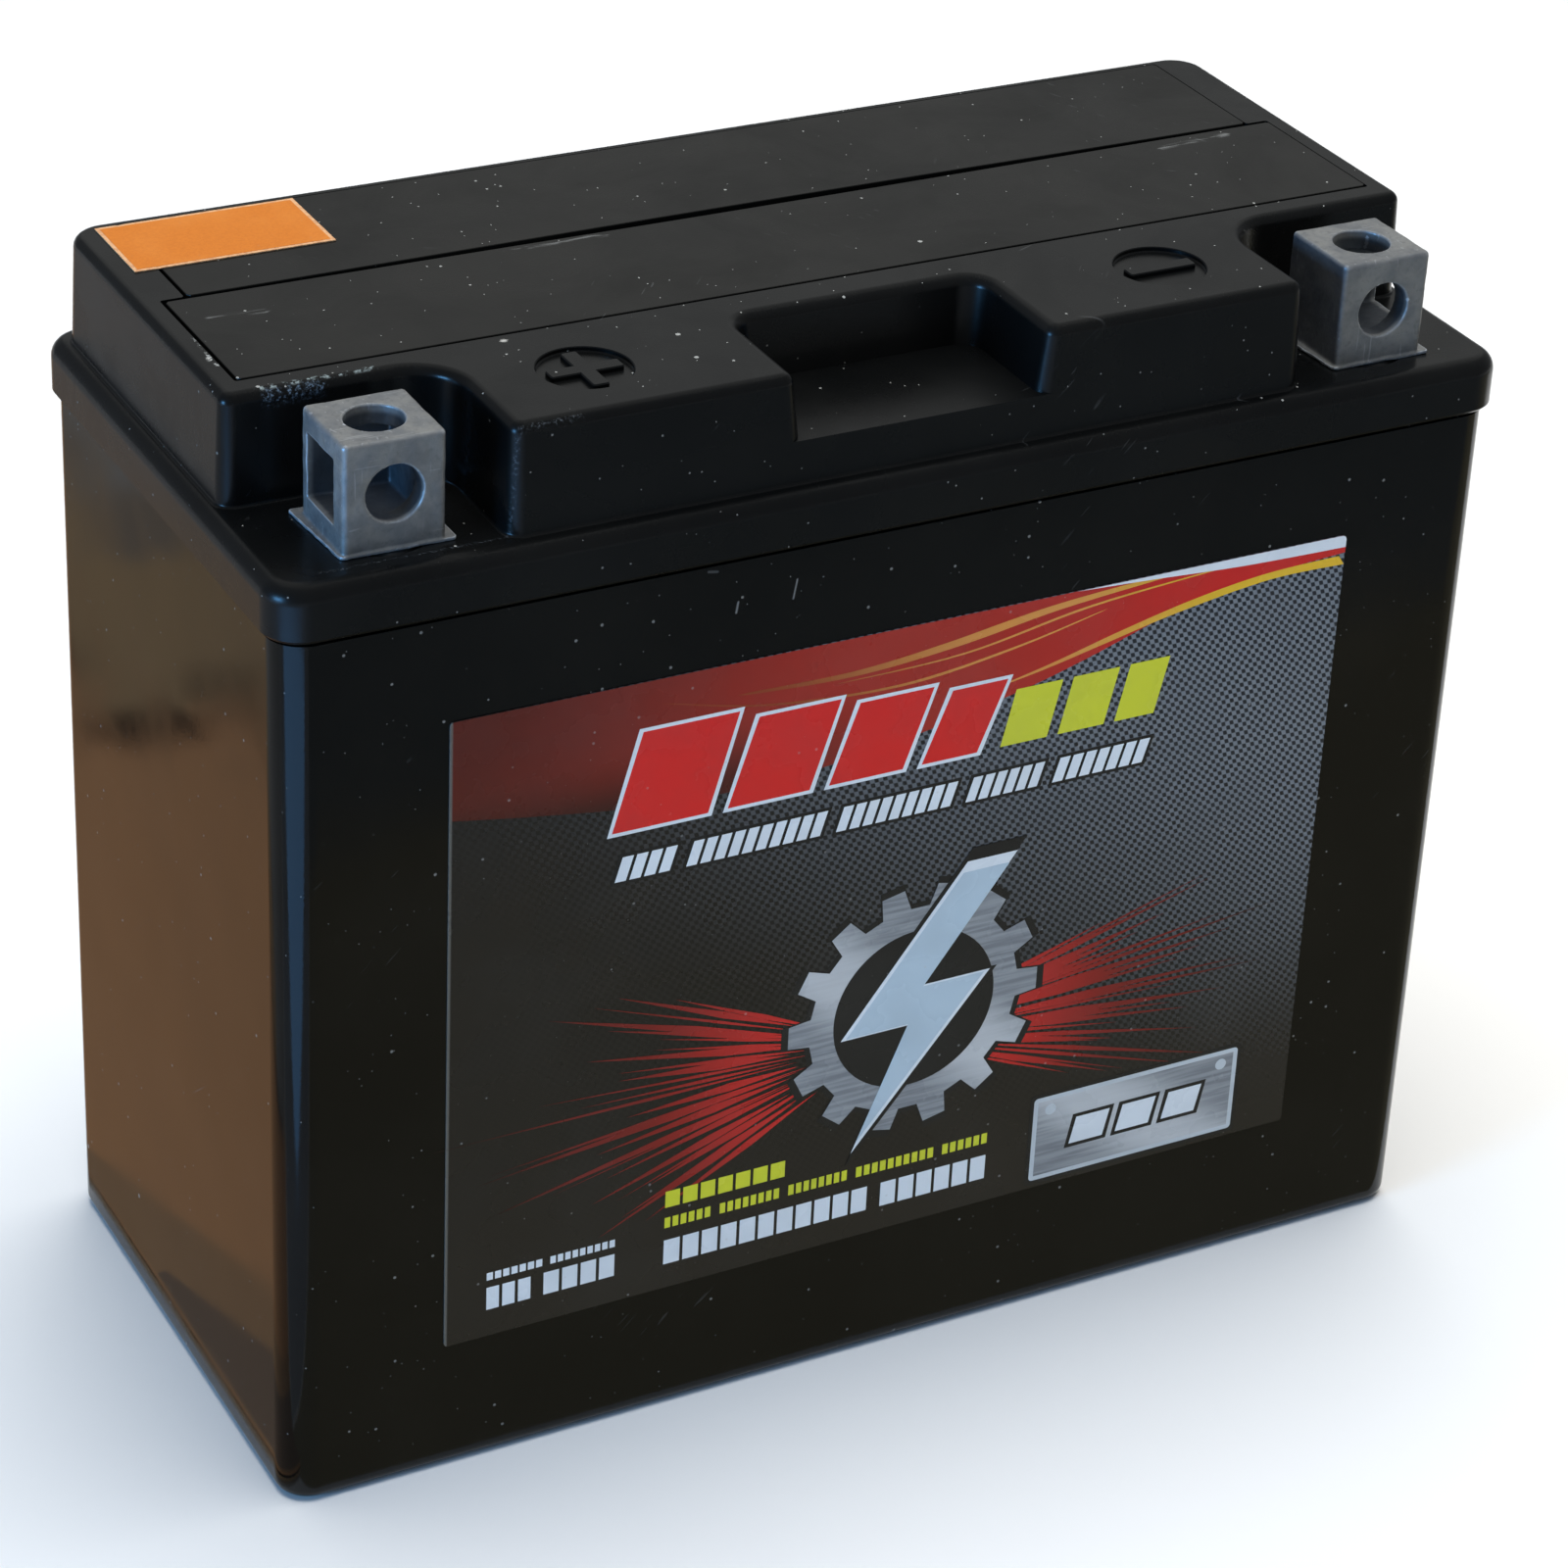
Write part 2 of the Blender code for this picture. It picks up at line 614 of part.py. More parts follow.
def build_terminal(name, side, look):
    """A hollow lead cube: bolt holes in its top and front, a nut slot in its outer side, skirt and shank."""
    base = BAND_TOP + CLEARANCE
    x = side * TERMINAL_X
    half_x = TERMINAL_WIDTH / 2
    half_y = TERMINAL_DEPTH / 2
    y_low = TERMINAL_Y - half_y
    y_high = TERMINAL_Y + half_y
    corners = rectangle(x - half_x, x + half_x, y_low, y_high, TERMINAL_CORNER, 2)
    levels = [(base, 0.0), (HEIGHT - TERMINAL_EDGE, 0.0), (HEIGHT, TERMINAL_EDGE)]
    shape = bmesh.new()
    loft(shape, [[(px, py, z) for px, py in rounded_outline(corners, inset)] for z, inset in levels])
    terminal = make_object(name, shape, look)

    skirt = bmesh.new()
    outline = rounded_outline(corners, -SKIRT_REACH)
    top = base + SKIRT_THICKNESS
    loft(skirt, [[(px, py, z) for px, py in outline] for z in (base, top)])
    combine(terminal, f"{name}_skirt_body", skirt, "UNION")
    shank = bmesh.new()
    cylinder(shank, x, TERMINAL_Y, SHANK_RADIUS, SHANK_BOTTOM, base + OVERLAP)
    combine(terminal, f"{name}_shank_body", shank, "UNION")

    nut_space = bmesh.new()
    outer = x + side * (half_x + OVERLAP)
    inner = x - side * (half_x - NUT_SPACE_INNER_WALL)
    low_x, high_x = min(outer, inner), max(outer, inner)
    box(nut_space, low_x, high_x, NUT_SPACE_FRONT, NUT_SPACE_BACK, NUT_SPACE_LOW, NUT_SPACE_HIGH)
    combine(terminal, f"{name}_nut_cutter", nut_space, "DIFFERENCE")

    middle = (NUT_SPACE_LOW + NUT_SPACE_HIGH) / 2
    top_hole = bmesh.new()
    cylinder(top_hole, x, TERMINAL_Y, BOLT_HOLE, middle, HEIGHT + OVERLAP)
    combine(terminal, f"{name}_top_hole_cutter", top_hole, "DIFFERENCE")
    front_hole = bmesh.new()
    cylinder_along_y(front_hole, x, middle, BOLT_HOLE, y_low - OVERLAP, TERMINAL_Y)
    combine(terminal, f"{name}_front_hole_cutter", front_hole, "DIFFERENCE")
    return terminal


def build_seal(name, side, look):
    """A rubber ring round the shank, in the pocket under the terminal."""
    seal_floor = BAND_TOP - SEAL_POCKET_DEPTH
    centre_z = seal_floor + CLEARANCE + SEAL_SECTION
    points = 8
    profile = []
    for index in range(points):
        angle = 2 * math.pi * (index + 0.5) / points
        radius = SEAL_RING_RADIUS + SEAL_SECTION * math.cos(angle)
        profile.append((radius, centre_z + SEAL_SECTION * math.sin(angle)))
    shape = bmesh.new()
    turned(shape, side * TERMINAL_X, TERMINAL_Y, profile)
    return make_object(name, shape, look, smooth=True)


# ---------------------------------------------------------------- cell contents


def build_plate_group(cell, positive, look):
    """The plates of one sign in one cell, their lugs, the cast strap across them and its tab or post."""
    side = strap_side(cell, positive)
    plates = [(low, thickness) for low, thickness, sign in plate_stack(cell) if sign == positive]
    strap_low = plates[0][0]
    strap_high = plates[-1][0] + plates[-1][1]
    tab_side = -1 if positive else 1
    wall = cell_centre(cell) + tab_side * CELL_WIDTH / 2
    is_terminal = cell == (0 if positive else CELLS - 1)
    if not is_terminal:
        tab_face = wall - tab_side * CLEARANCE
        strap_low, strap_high = min(strap_low, tab_face), max(strap_high, tab_face)
    shape = bmesh.new()
    strap_y = side * STRAP_Y
    half = STRAP_DEPTH / 2
    box(shape, strap_low, strap_high, strap_y - half, strap_y + half, STRAP_BOTTOM, STRAP_TOP)
    sign_name = "positive" if positive else "negative"
    name = f"{sign_name}_plate_group_{cell + 1}"
    group = make_object(name, shape, look)

    bodies = bmesh.new()
    for low, thickness in plates:
        outline = [
            (-PLATE_Y, PLATE_BOTTOM),
            (PLATE_Y, PLATE_BOTTOM),
            (PLATE_Y, PLATE_TOP),
            (strap_y + LUG_DEPTH / 2, PLATE_TOP),
            (strap_y + LUG_DEPTH / 2, STRAP_BOTTOM + OVERLAP),
            (strap_y - LUG_DEPTH / 2, STRAP_BOTTOM + OVERLAP),
            (strap_y - LUG_DEPTH / 2, PLATE_TOP),
            (-PLATE_Y, PLATE_TOP),
        ]
        prism_along_x(bodies, outline, low + PLATE_RECESS, low + thickness - PLATE_RECESS)
    combine(group, f"{name}_plate_bodies", bodies, "UNION")

    riser = bmesh.new()
    if is_terminal:
        terminal_x = tab_side * TERMINAL_X
        cylinder(riser, terminal_x, TERMINAL_Y, SHANK_RADIUS, STRAP_TOP - OVERLAP, POST_TOP)
    else:
        tab_outer = tab_face - tab_side * TAB_RECESS
        tab_inner = tab_face - tab_side * WELD_TAB
        tab_low, tab_high = min(tab_outer, tab_inner), max(tab_outer, tab_inner)
        tab_half = half - WELD_TAB_INSET
        y_low, y_high = strap_y - tab_half, strap_y + tab_half
        box(riser, tab_low, tab_high, y_low, y_high, STRAP_TOP - OVERLAP, WELD_TAB_TOP)
    combine(group, f"{name}_riser_body", riser, "UNION")
    return group


def build_separator(cell, look):
    """One glass-mat sheet folded to and fro between the plates of a cell, open at the top and bottom."""
    stack = plate_stack(cell)
    fold_inner = PLATE_Y + FOLD_CLEARANCE
    fold_outer = fold_inner + GLASS_MAT
    left_ends = {1: fold_outer, -1: -fold_inner}
    right_ends = {1: fold_inner, -1: -fold_outer}
    left_path = []
    right_path = []
    heading = 1
    for low, thickness, _ in stack[:-1]:
        low_x = low + thickness + THIN_CLEARANCE
        left_x, right_x = (low_x, low_x + GLASS_MAT)[::heading]
        left_path += [(left_x, left_ends[-heading]), (left_x, left_ends[heading])]
        right_path += [(right_x, right_ends[-heading]), (right_x, right_ends[heading])]
        heading = -heading
    free_end = -heading * PLATE_Y
    for path in (left_path, right_path):
        path[0] = (path[0][0], -PLATE_Y)
        path[-1] = (path[-1][0], free_end)
    outline = left_path + right_path[::-1]
    shape = bmesh.new()
    loft(shape, [[(x, y, z) for x, y in outline] for z in (PLATE_BOTTOM, MAT_TOP)])
    return make_object(f"separator_{cell + 1}", shape, look)


def build_intercell_weld(cell, look):
    """The lead button that joins two straps through the hole in a partition."""
    wall = cell_centre(cell) + CELL_PITCH / 2
    half = PARTITION / 2
    y = strap_side(cell, positive=False) * STRAP_Y
    shape = bmesh.new()
    cylinder_along_x(shape, y, WELD_Z, WELD_HOLE - CLEARANCE, wall - half, wall + half)
    return make_object(f"intercell_weld_{cell + 1}", shape, look)


# ---------------------------------------------------------------- stickers


def build_front_label(look):
    corners = rectangle(-LABEL_X, LABEL_X, LABEL_LOW, LABEL_HIGH, LABEL_CORNER, 3)
    outline = list(reversed(rounded_outline(corners)))
    back = -CASE_Y - THIN_CLEARANCE
    shape = bmesh.new()
    loft(shape, [[(x, y, z) for x, z in outline] for y in (back - STICKER_THICKNESS, back)])
    return make_object("front_label", shape, look)


def build_top_sticker(look):
    corners = rectangle(
        TOP_STICKER_LEFT, TOP_STICKER_RIGHT, TOP_STICKER_FRONT, TOP_STICKER_BACK, LABEL_CORNER, 3,
    )
    outline = rounded_outline(corners)
    low = HEIGHT + THIN_CLEARANCE
    shape = bmesh.new()
    loft(shape, [[(x, y, z) for x, y in outline] for z in (low, low + STICKER_THICKNESS)])
    return make_object("top_sticker", shape, look)


def main():
    clear_scene()
    plastic = material("black_plastic", (0.012, 0.012, 0.013), 0.38)
    rubber = material("valve_rubber", (0.03, 0.03, 0.03), 0.7)
    cast_lead = material("cast_lead", (0.28, 0.29, 0.31), 0.45, 1.0)
    positive_paste = material("positive_plate", (0.10, 0.045, 0.03), 0.85)
    negative_paste = material("negative_plate", (0.24, 0.25, 0.26), 0.75)
    glass_mat = material("glass_mat", (0.85, 0.85, 0.82), 0.95)
    label_film = material("label_film", (0.02, 0.02, 0.022), 0.2)
    orange_film = material("orange_film", (0.85, 0.22, 0.03), 0.5)

    build_container(plastic)
    build_lid(plastic)
    build_plug_strip(plastic)
    build_vent_cover(plastic)
    for cell in range(CELLS):
        build_valve_cap(cell, rubber)
        build_plate_group(cell, True, positive_paste)
        build_plate_group(cell, False, negative_paste)
        build_separator(cell, glass_mat)
    for cell in range(CELLS - 1):
        build_intercell_weld(cell, cast_lead)
    for name, side in (("positive_terminal", -1), ("negative_terminal", 1)):
        build_terminal(name, side, cast_lead)
        build_seal(f"{name}_seal", side, rubber)
    build_front_label(label_film)
    build_top_sticker(orange_film)


main()
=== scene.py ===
"""The looks of a sealed motorcycle battery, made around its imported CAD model.

Lengths are in metres, in the CAD frame: +X runs along the case from the positive to the negative terminal,
-Y is the labelled front and +Z is up. Sizes come from the frame's boxes where a node states them.
"""
import math
import random

import bmesh
import bpy
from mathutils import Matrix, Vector, noise


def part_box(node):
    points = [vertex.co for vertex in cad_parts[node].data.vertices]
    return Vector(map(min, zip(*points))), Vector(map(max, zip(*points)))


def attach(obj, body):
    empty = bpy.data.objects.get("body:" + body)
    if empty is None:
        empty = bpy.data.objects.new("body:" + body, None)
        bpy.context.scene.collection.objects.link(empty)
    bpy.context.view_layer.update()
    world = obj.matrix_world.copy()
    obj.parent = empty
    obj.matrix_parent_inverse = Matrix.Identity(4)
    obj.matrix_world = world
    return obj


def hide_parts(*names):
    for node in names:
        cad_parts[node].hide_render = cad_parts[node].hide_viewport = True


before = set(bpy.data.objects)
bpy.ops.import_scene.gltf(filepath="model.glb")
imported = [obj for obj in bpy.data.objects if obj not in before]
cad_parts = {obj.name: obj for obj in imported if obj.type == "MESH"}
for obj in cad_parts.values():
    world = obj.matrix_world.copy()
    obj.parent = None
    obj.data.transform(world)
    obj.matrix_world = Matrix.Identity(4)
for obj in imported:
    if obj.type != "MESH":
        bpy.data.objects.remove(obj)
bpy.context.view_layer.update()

MM = 0.001
CELLS = 6
CLEARANCE = 0.3 * MM
OVERLAP = 1.0 * MM

# Case
CASE_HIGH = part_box("container")[1]
CASE_X = CASE_HIGH.x
CASE_Y = CASE_HIGH.y
TONGUE_TOP = CASE_HIGH.z
CASE_CORNER = 4.0 * MM
CASE_BOTTOM_EDGE = 1.4 * MM
SEAM_GAP = 0.5 * MM
SIDE_WALL = 2.8 * MM
FLOOR_TOP = 2.6 * MM
REST_RIB_HEIGHT = 1.5 * MM
REST_RIB_WIDTH = 2.4 * MM
REST_RIB_Y = 16.0 * MM
TONGUE_STEP = 1.1 * MM
PARTITION = 1.5 * MM
INNER_X = CASE_X - SIDE_WALL
INNER_Y = CASE_Y - SIDE_WALL
CELL_WIDTH = (2 * INNER_X - (CELLS - 1) * PARTITION) / CELLS
CELL_PITCH = CELL_WIDTH + PARTITION

# Lid band and lid block
LID_LOW, LID_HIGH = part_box("lid")
TOP = LID_HIGH.z
BAND_BOTTOM = LID_LOW.z
BAND_X = LID_HIGH.x
BAND_Y = LID_HIGH.y
BAND_TOP = TOP - 12.6 * MM
BAND_CORNER = 4.4 * MM
BAND_EDGE = 2.0 * MM
BAND_CHAMFER = 0.5 * MM
DECK_UNDERSIDE = BAND_TOP - 2.8 * MM
BLOCK_X = BAND_X - 2.0 * MM
BLOCK_BACK = BAND_Y - 1.4 * MM
BLOCK_FRONT = -(BAND_Y - 2.3 * MM)
BLOCK_DRAFT = 0.04
BLOCK_EDGE = 1.2 * MM
BLOCK_FOOT_FILLET = 0.35 * MM
BLOCK_CORNER = 4.5 * MM
BLOCK_SHARP_CORNER = 2.0 * MM
BLOCK_CORNER_STEPS = 8
LID_WALL = 2.2 * MM
BLOCK_BACK_WALL = 2.8 * MM
HOLLOW_INSET = 0.9 * MM
RECESS_X = 48.3 * MM
RECESS_BACK = -15.0 * MM
RECESS_CORNER = 5.5 * MM
NOTCH_HALF = 14.4 * MM
NOTCH_BACK = -17.0 * MM
NOTCH_FLOOR = 120.4 * MM
NOTCH_DRAFT = 0.13
NOTCH_CORNER = 2.4 * MM
NOTCH_LIP = 0.9 * MM

# Plates let into the lid
STRIP_LOW, STRIP_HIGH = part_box("plug_strip")
COVER_LOW, COVER_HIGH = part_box("vent_cover")
PLATE_GAP = 0.45 * MM
TIGHT_GAP = 0.05 * MM
POCKET_FLOOR = COVER_LOW.z - CLEARANCE
STRIP_POCKET_X = -STRIP_LOW.x + PLATE_GAP
STRIP_POCKET_FRONT = STRIP_LOW.y - PLATE_GAP
PLATE_SPLIT = COVER_LOW.y - 0.2 * MM
COVER_POCKET_X = -COVER_LOW.x + PLATE_GAP
COVER_POCKET_BACK = COVER_HIGH.y + CLEARANCE
PLATE_EDGE = 0.12 * MM
PLATE_CORNER = 0.35 * MM
PLATE_BOW = 0.35 * MM

# Valve chamber, necks, plugs
VALVE_Y = sum(corner.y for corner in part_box("valve_cap_1")) / 2
CHAMBER_X = 65.8 * MM
CHAMBER_FRONT = 12.0 * MM
CHAMBER_BACK = 29.6 * MM
CHAMBER_FLOOR = 119.5 * MM
CHAMBER_FLOOR_THICKNESS = 2.5 * MM
NECK_RADIUS = 3.7 * MM
NECK_BORE = 2.3 * MM
NECK_TOP = 123.4 * MM
PLUG_Y = -0.6 * MM
PLUG_RADIUS = 4.5 * MM
PLUG_WALL = 1.2 * MM
PLUG_CLEARANCE = 0.4 * MM

# Terminals
TERMINAL_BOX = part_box("negative_terminal")
TERMINAL_X = (TERMINAL_BOX[0].x + TERMINAL_BOX[1].x) / 2
TERMINAL_Y = (TERMINAL_BOX[0].y + TERMINAL_BOX[1].y) / 2
SHANK_BOTTOM = TERMINAL_BOX[0].z
SKIRT_REACH = 1.1 * MM
SKIRT_THICKNESS = 0.35 * MM
SKIRT_FRONT_REACH = 0.15 * MM
TERMINAL_HALF_X = TERMINAL_BOX[1].x - TERMINAL_X - SKIRT_REACH
TERMINAL_HALF_Y = TERMINAL_BOX[1].y - TERMINAL_Y - SKIRT_REACH
TERMINAL_EDGE = 0.45 * MM
TERMINAL_CORNER = 0.6 * MM
TERMINAL_SEAT = 0.05 * MM
BOLT_HOLE = 3.2 * MM
HOLE_CHAMFER = 0.15 * MM
NUT_SPACE_LOW = 118.2 * MM
NUT_SPACE_HIGH = 125.6 * MM
NUT_SPACE_FRONT = -27.5 * MM
NUT_SPACE_BACK = -20.5 * MM
NUT_SPACE_INNER_WALL = 2.2 * MM
SHANK_RADIUS = 4.0 * MM
SHANK_BORE = 4.4 * MM
BOSS_RADIUS = 6.2 * MM
BOSS_BOTTOM = 110.0 * MM
SEAL_POCKET_RADIUS = 6.4 * MM
SEAL_POCKET_DEPTH = 1.4 * MM

# Polarity marks
MARK_X = 35.1 * MM
MARK_Y = -21.8 * MM
MARK_RADIUS = 5.2 * MM
MARK_DEPTH = 0.6 * MM
MARK_BAR_LENGTH = 8.4 * MM
MARK_BAR_WIDTH = 1.9 * MM

# Label
LABEL_LOW, LABEL_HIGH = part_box("front_label")
LABEL_X = LABEL_HIGH.x
LABEL_Z_LOW = LABEL_LOW.z
LABEL_Z_HIGH = LABEL_HIGH.z
LABEL_CORNER = 0.5 * MM
FILM_BACK = -CASE_Y - 0.02 * MM
FILM_FRONT = FILM_BACK - 0.14 * MM
PRINT_LAYER = 0.012 * MM

# Orange sticker
STICKER_LOW, STICKER_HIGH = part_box("top_sticker")
STICKER_THICKNESS = 0.12 * MM
STICKER_BORDER = 0.45 * MM

ROUND = 48

# Nicks in the front wall: (x, z) ends in mm, half width in mm, strength
FRONT_TICKS = [
    ((-15.3, 105.0), (-15.7, 102.7), 0.16, 0.6),
    ((-22.3, 103.7), (-22.5, 102.4), 0.20, 0.6),
    ((-26.0, 108.0), (-24.9, 107.8), 0.25, 0.2),
]

# Scuffs on the plates: (x, y) ends in mm
PLATE_SCUFFS = [
    ((-66.5, 4.4), (-60.3, 3.8)),
    ((53.3, 7.6), (63.0, 8.4)),
    ((-30.0, 8.8), (-18.0, 8.8)),
]

# Height in mm, just above the tops of the plates, from which their lugs and straps show as cast lead
PASTE_TOP = 88.5

# Artwork of the label, in mm, as (x, z) seen from the front
MESH_PITCH_X = 1.10
MESH_PITCH_Z = 1.18
RED_BAND_EDGE = [
    (-44.9, 82.8), (-33.0, 81.2), (-18.0, 80.6), (-2.0, 82.2),
    (12.7, 85.1), (21.9, 87.6), (33.5, 91.3), (45.4, 93.4),
]
# Each line's points and its width
ORANGE_LINES = [
    ([(-22, 92.4), (-8, 92.0), (4, 93.0), (18, 95.0), (34, 96.2)], 1.0),
    ([(-31, 93.4), (-18, 90.4), (-2, 89.3), (12, 90.9), (24, 93.4)], 0.35),
    ([(-10, 91.2), (6, 91.6), (22, 94.2), (40, 95.6)], 0.3),
]
RAY_CENTRE = (-1.0, 43.0)
RAYS_A_SIDE = 26
EMBLEM_CENTRE = (2.5, 46.5)
COG_TEETH = 14
BOLT_HEIGHT = 34.0
# Corners of the lightning bolt from its centre, as shares of its height
BOLT_SHARES = [
    (0.16, 0.50), (-0.26, -0.06), (-0.02, -0.06), (-0.20, -0.50),
    (0.27, 0.08), (0.03, 0.08), (0.34, 0.50),
]
# Bars on one base line: (x_low, x_high, z_high), and how far their tops lean to the right
BADGE_LOW = 78.6
BADGE_BARS = [(-36.5, -25.0, 90.4), (-22.6, -12.6, 89.2), (-10.2, -1.0, 88.2), (1.4, 8.4, 87.2)]
BADGE_LEAN = 3.4
ACCENT_BARS = [(11.4, 17.4, 85.6), (18.8, 24.8, 85.6), (26.2, 31.4, 85.6)]
ACCENT_LEAN = 1.6
# The line of small plain blocks that stands where a label has its wording
LINE_BARS = [(-36.0, -29.4), (-27.4, -11.0), (-9.0, 5.4), (7.4, 16.6), (18.6, 30.4)]
LINE_LOW, LINE_HIGH = 72.4, 75.4
LINE_LEAN = 0.9
# Rows of plain blocks: (x_low, x_high, z_low, z_high), pitch and gap
WHITE_BLOCKS = [
    ((-28.4, -2.2, 19.9, 23.2), 2.4, 0.4),
    ((-0.4, 13.6, 19.9, 23.2), 2.4, 0.4),
    ((-50.4, -45.0, 20.2, 23.2), 2.0, 0.4),
    ((-43.4, -34.6, 20.2, 23.2), 2.2, 0.4),
    ((-50.4, -43.6, 24.2, 25.2), 0.95, 0.25),
    ((-42.6, -34.6, 24.2, 25.2), 0.95, 0.25),
]
YELLOW_BLOCKS = [((-28.4, -13.2, 27.7, 29.9), 2.1, 0.4)]
for word in ((-28.4, -22.6), (-21.4, -13.8), (-12.6, -5.0), (-3.8, 6.4), (7.6, 13.6)):
    YELLOW_BLOCKS.append(((*word, 24.9, 26.3), 1.05, 0.3))
# The silver plate at the lower right: (x_low, x_high, z_low, z_high)
SILVER_PLATE = (19.8, 48.0, 17.6, 29.2)

# Reflection cards, in mm: the corner by the case's foot that they share, and the far line of the room
CARD_X = -75.5
CARD_Y = -36
ROOM_WAVE = [
    (-116, 600), (-116, 151), (-113, 136), (-115, 133), (-121, 131), (-126, 127),
    (-132, 141), (-136, 141), (-137, 131), (-139, 105), (-143, -36),
]


# Outlines and meshes

def unit(x, y):
    length = math.hypot(x, y)
    return x / length, y / length


def circle_point(centre, radius, angle):
    return centre[0] + radius * math.cos(angle), centre[1] + radius * math.sin(angle)


def circle(centre, radius, count=64):
    return [circle_point(centre, radius, 2 * math.pi * index / count) for index in range(count)]


def rounded_outline(corners, inset=0.0, smallest=0.03 * MM):
    """The outline through counter-clockwise (x, y, radius, segments) corners, moved inwards by inset."""
    points = []
    for index, (x, y, radius, segments) in enumerate(corners):
        before = corners[index - 1]
        after = corners[(index + 1) % len(corners)]
        way_in = unit(x - before[0], y - before[1])
        way_out = unit(after[0] - x, after[1] - y)
        turn = way_in[0] * way_out[1] - way_in[1] * way_out[0]
        side = 1.0 if turn > 0 else -1.0
        moved_radius = max(radius - side * inset, smallest)
        centre_x = x - inset * (way_in[1] + way_out[1]) + moved_radius * (way_out[0] - way_in[0])
        centre_y = y + inset * (way_in[0] + way_out[0]) + moved_radius * (way_out[1] - way_in[1])
        start = math.atan2(-side * way_in[0], side * way_in[1])
        for step in range(segments + 1):
            angle = start + side * step * (math.pi / 2) / segments
            points.append(circle_point((centre_x, centre_y), moved_radius, angle))
    return points


def rectangle(x_low, x_high, y_low, y_high, radius, segments):
    return [
        (x_low, y_low, radius, segments),
        (x_high, y_low, radius, segments),
        (x_high, y_high, radius, segments),
        (x_low, y_high, radius, segments),
    ]


def quarter_steps(steps):
    """(1 - sin, 1 - cos) of the angles of a quarter turn, for rounding an edge."""
    angles = [step * (math.pi / 2) / steps for step in range(steps + 1)]
    return [(1 - math.sin(angle), 1 - math.cos(angle)) for angle in angles]


def bridge(shape, loops):
    """Join each closed loop of vertices to the next with quads."""
    for low, high in zip(loops, loops[1:]):
        for index in range(len(low)):
            after = (index + 1) % len(low)
            shape.faces.new((low[index], low[after], high[after], high[index]))


def loft(shape, rings):
    """Add a closed body to the bmesh: rings of points from the bottom up, capped at both ends."""
    loops = [[shape.verts.new(point) for point in ring] for ring in rings]
    bridge(shape, loops)
    shape.faces.new(list(reversed(loops[0])))
    shape.faces.new(loops[-1])


def upright(shape, corners, levels):
    """Loft the rounded outline of the corners through (z, inset) levels."""
    loft(shape, [[(x, y, z) for x, y in rounded_outline(corners, inset)] for z, inset in levels])


def box(shape, x_low, x_high, y_low, y_high, z_low, z_high):
    outline = [(x_low, y_low), (x_high, y_low), (x_high, y_high), (x_low, y_high)]
    loft(shape, [[(x, y, z) for x, y in outline] for z in (z_low, z_high)])


def turned_solid(shape, centre, profile, axis="Z", segments=ROUND):
    """Turn an open (radius, height) profile, lowest point first, round an axis through the centre."""
    rings = []
    for radius, height in profile:
        ring = []
        for index in range(segments):
            angle = 2 * math.pi * (index + 0.5) / segments
            across, along = radius * math.cos(angle), radius * math.sin(angle)
            if axis == "Z":
                offset = Vector((across, along, height))
            elif axis == "X":
                offset = Vector((height, across, along))
            else:
                offset = Vector((along, height, across))
            ring.append(Vector(centre) + offset)
        rings.append(ring)
    loft(shape, rings)


def turned_ring(shape, centre, profile, segments=ROUND):
    """Turn a closed (radius, z) profile round the vertical line through the centre."""
    rows = []
    for radius, z in profile:
        rows.append([shape.verts.new((x, y, z)) for x, y in circle(centre, radius, segments)])
    bridge(shape, rows + rows[:1])


def make_piece(name, shape):
    bmesh.ops.recalc_face_normals(shape, faces=shape.faces)
    mesh = bpy.data.meshes.new(name)
    shape.to_mesh(mesh)
    shape.free()
    piece = bpy.data.objects.new(name, mesh)
    bpy.context.scene.collection.objects.link(piece)
    return piece


def solid(add, *details, **settings):
    """A new bmesh holding what the given function adds to it."""
    shape = bmesh.new()
    add(shape, *details, **settings)
    return shape


def apply_modifiers(piece):
    bpy.context.view_layer.update()
    graph = bpy.context.evaluated_depsgraph_get()
    mesh = bpy.data.meshes.new_from_object(piece.evaluated_get(graph))
    piece.modifiers.clear()
    piece.data = mesh


def combine(piece, shape, operation):
    """Join the bmesh to the piece, or cut it out, with an exact Boolean."""
    tool = make_piece("tool", shape)
    modifier = piece.modifiers.new("boolean", "BOOLEAN")
    modifier.operation = operation
    modifier.solver = "EXACT"
    modifier.object = tool
    apply_modifiers(piece)
    bpy.data.objects.remove(tool, do_unlink=True)


def cut(piece, shape):
    combine(piece, shape, "DIFFERENCE")


def join(piece, shape):
    combine(piece, shape, "UNION")


def finish_piece(piece, material, body="battery", replaced=(), sharp=32):
    """Shade the piece, give it its material and tie it to the frame."""
    mesh = piece.data
    mesh.materials.clear()
    mesh.materials.append(material)
    mesh.shade_smooth()
    mesh.set_sharp_from_angle(angle=math.radians(sharp))
    weighted = piece.modifiers.new("weighted_normals", "WEIGHTED_NORMAL")
    weighted.keep_sharp = True
    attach(piece, body)
    if replaced:
        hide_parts(*replaced)
    return piece


# Materials

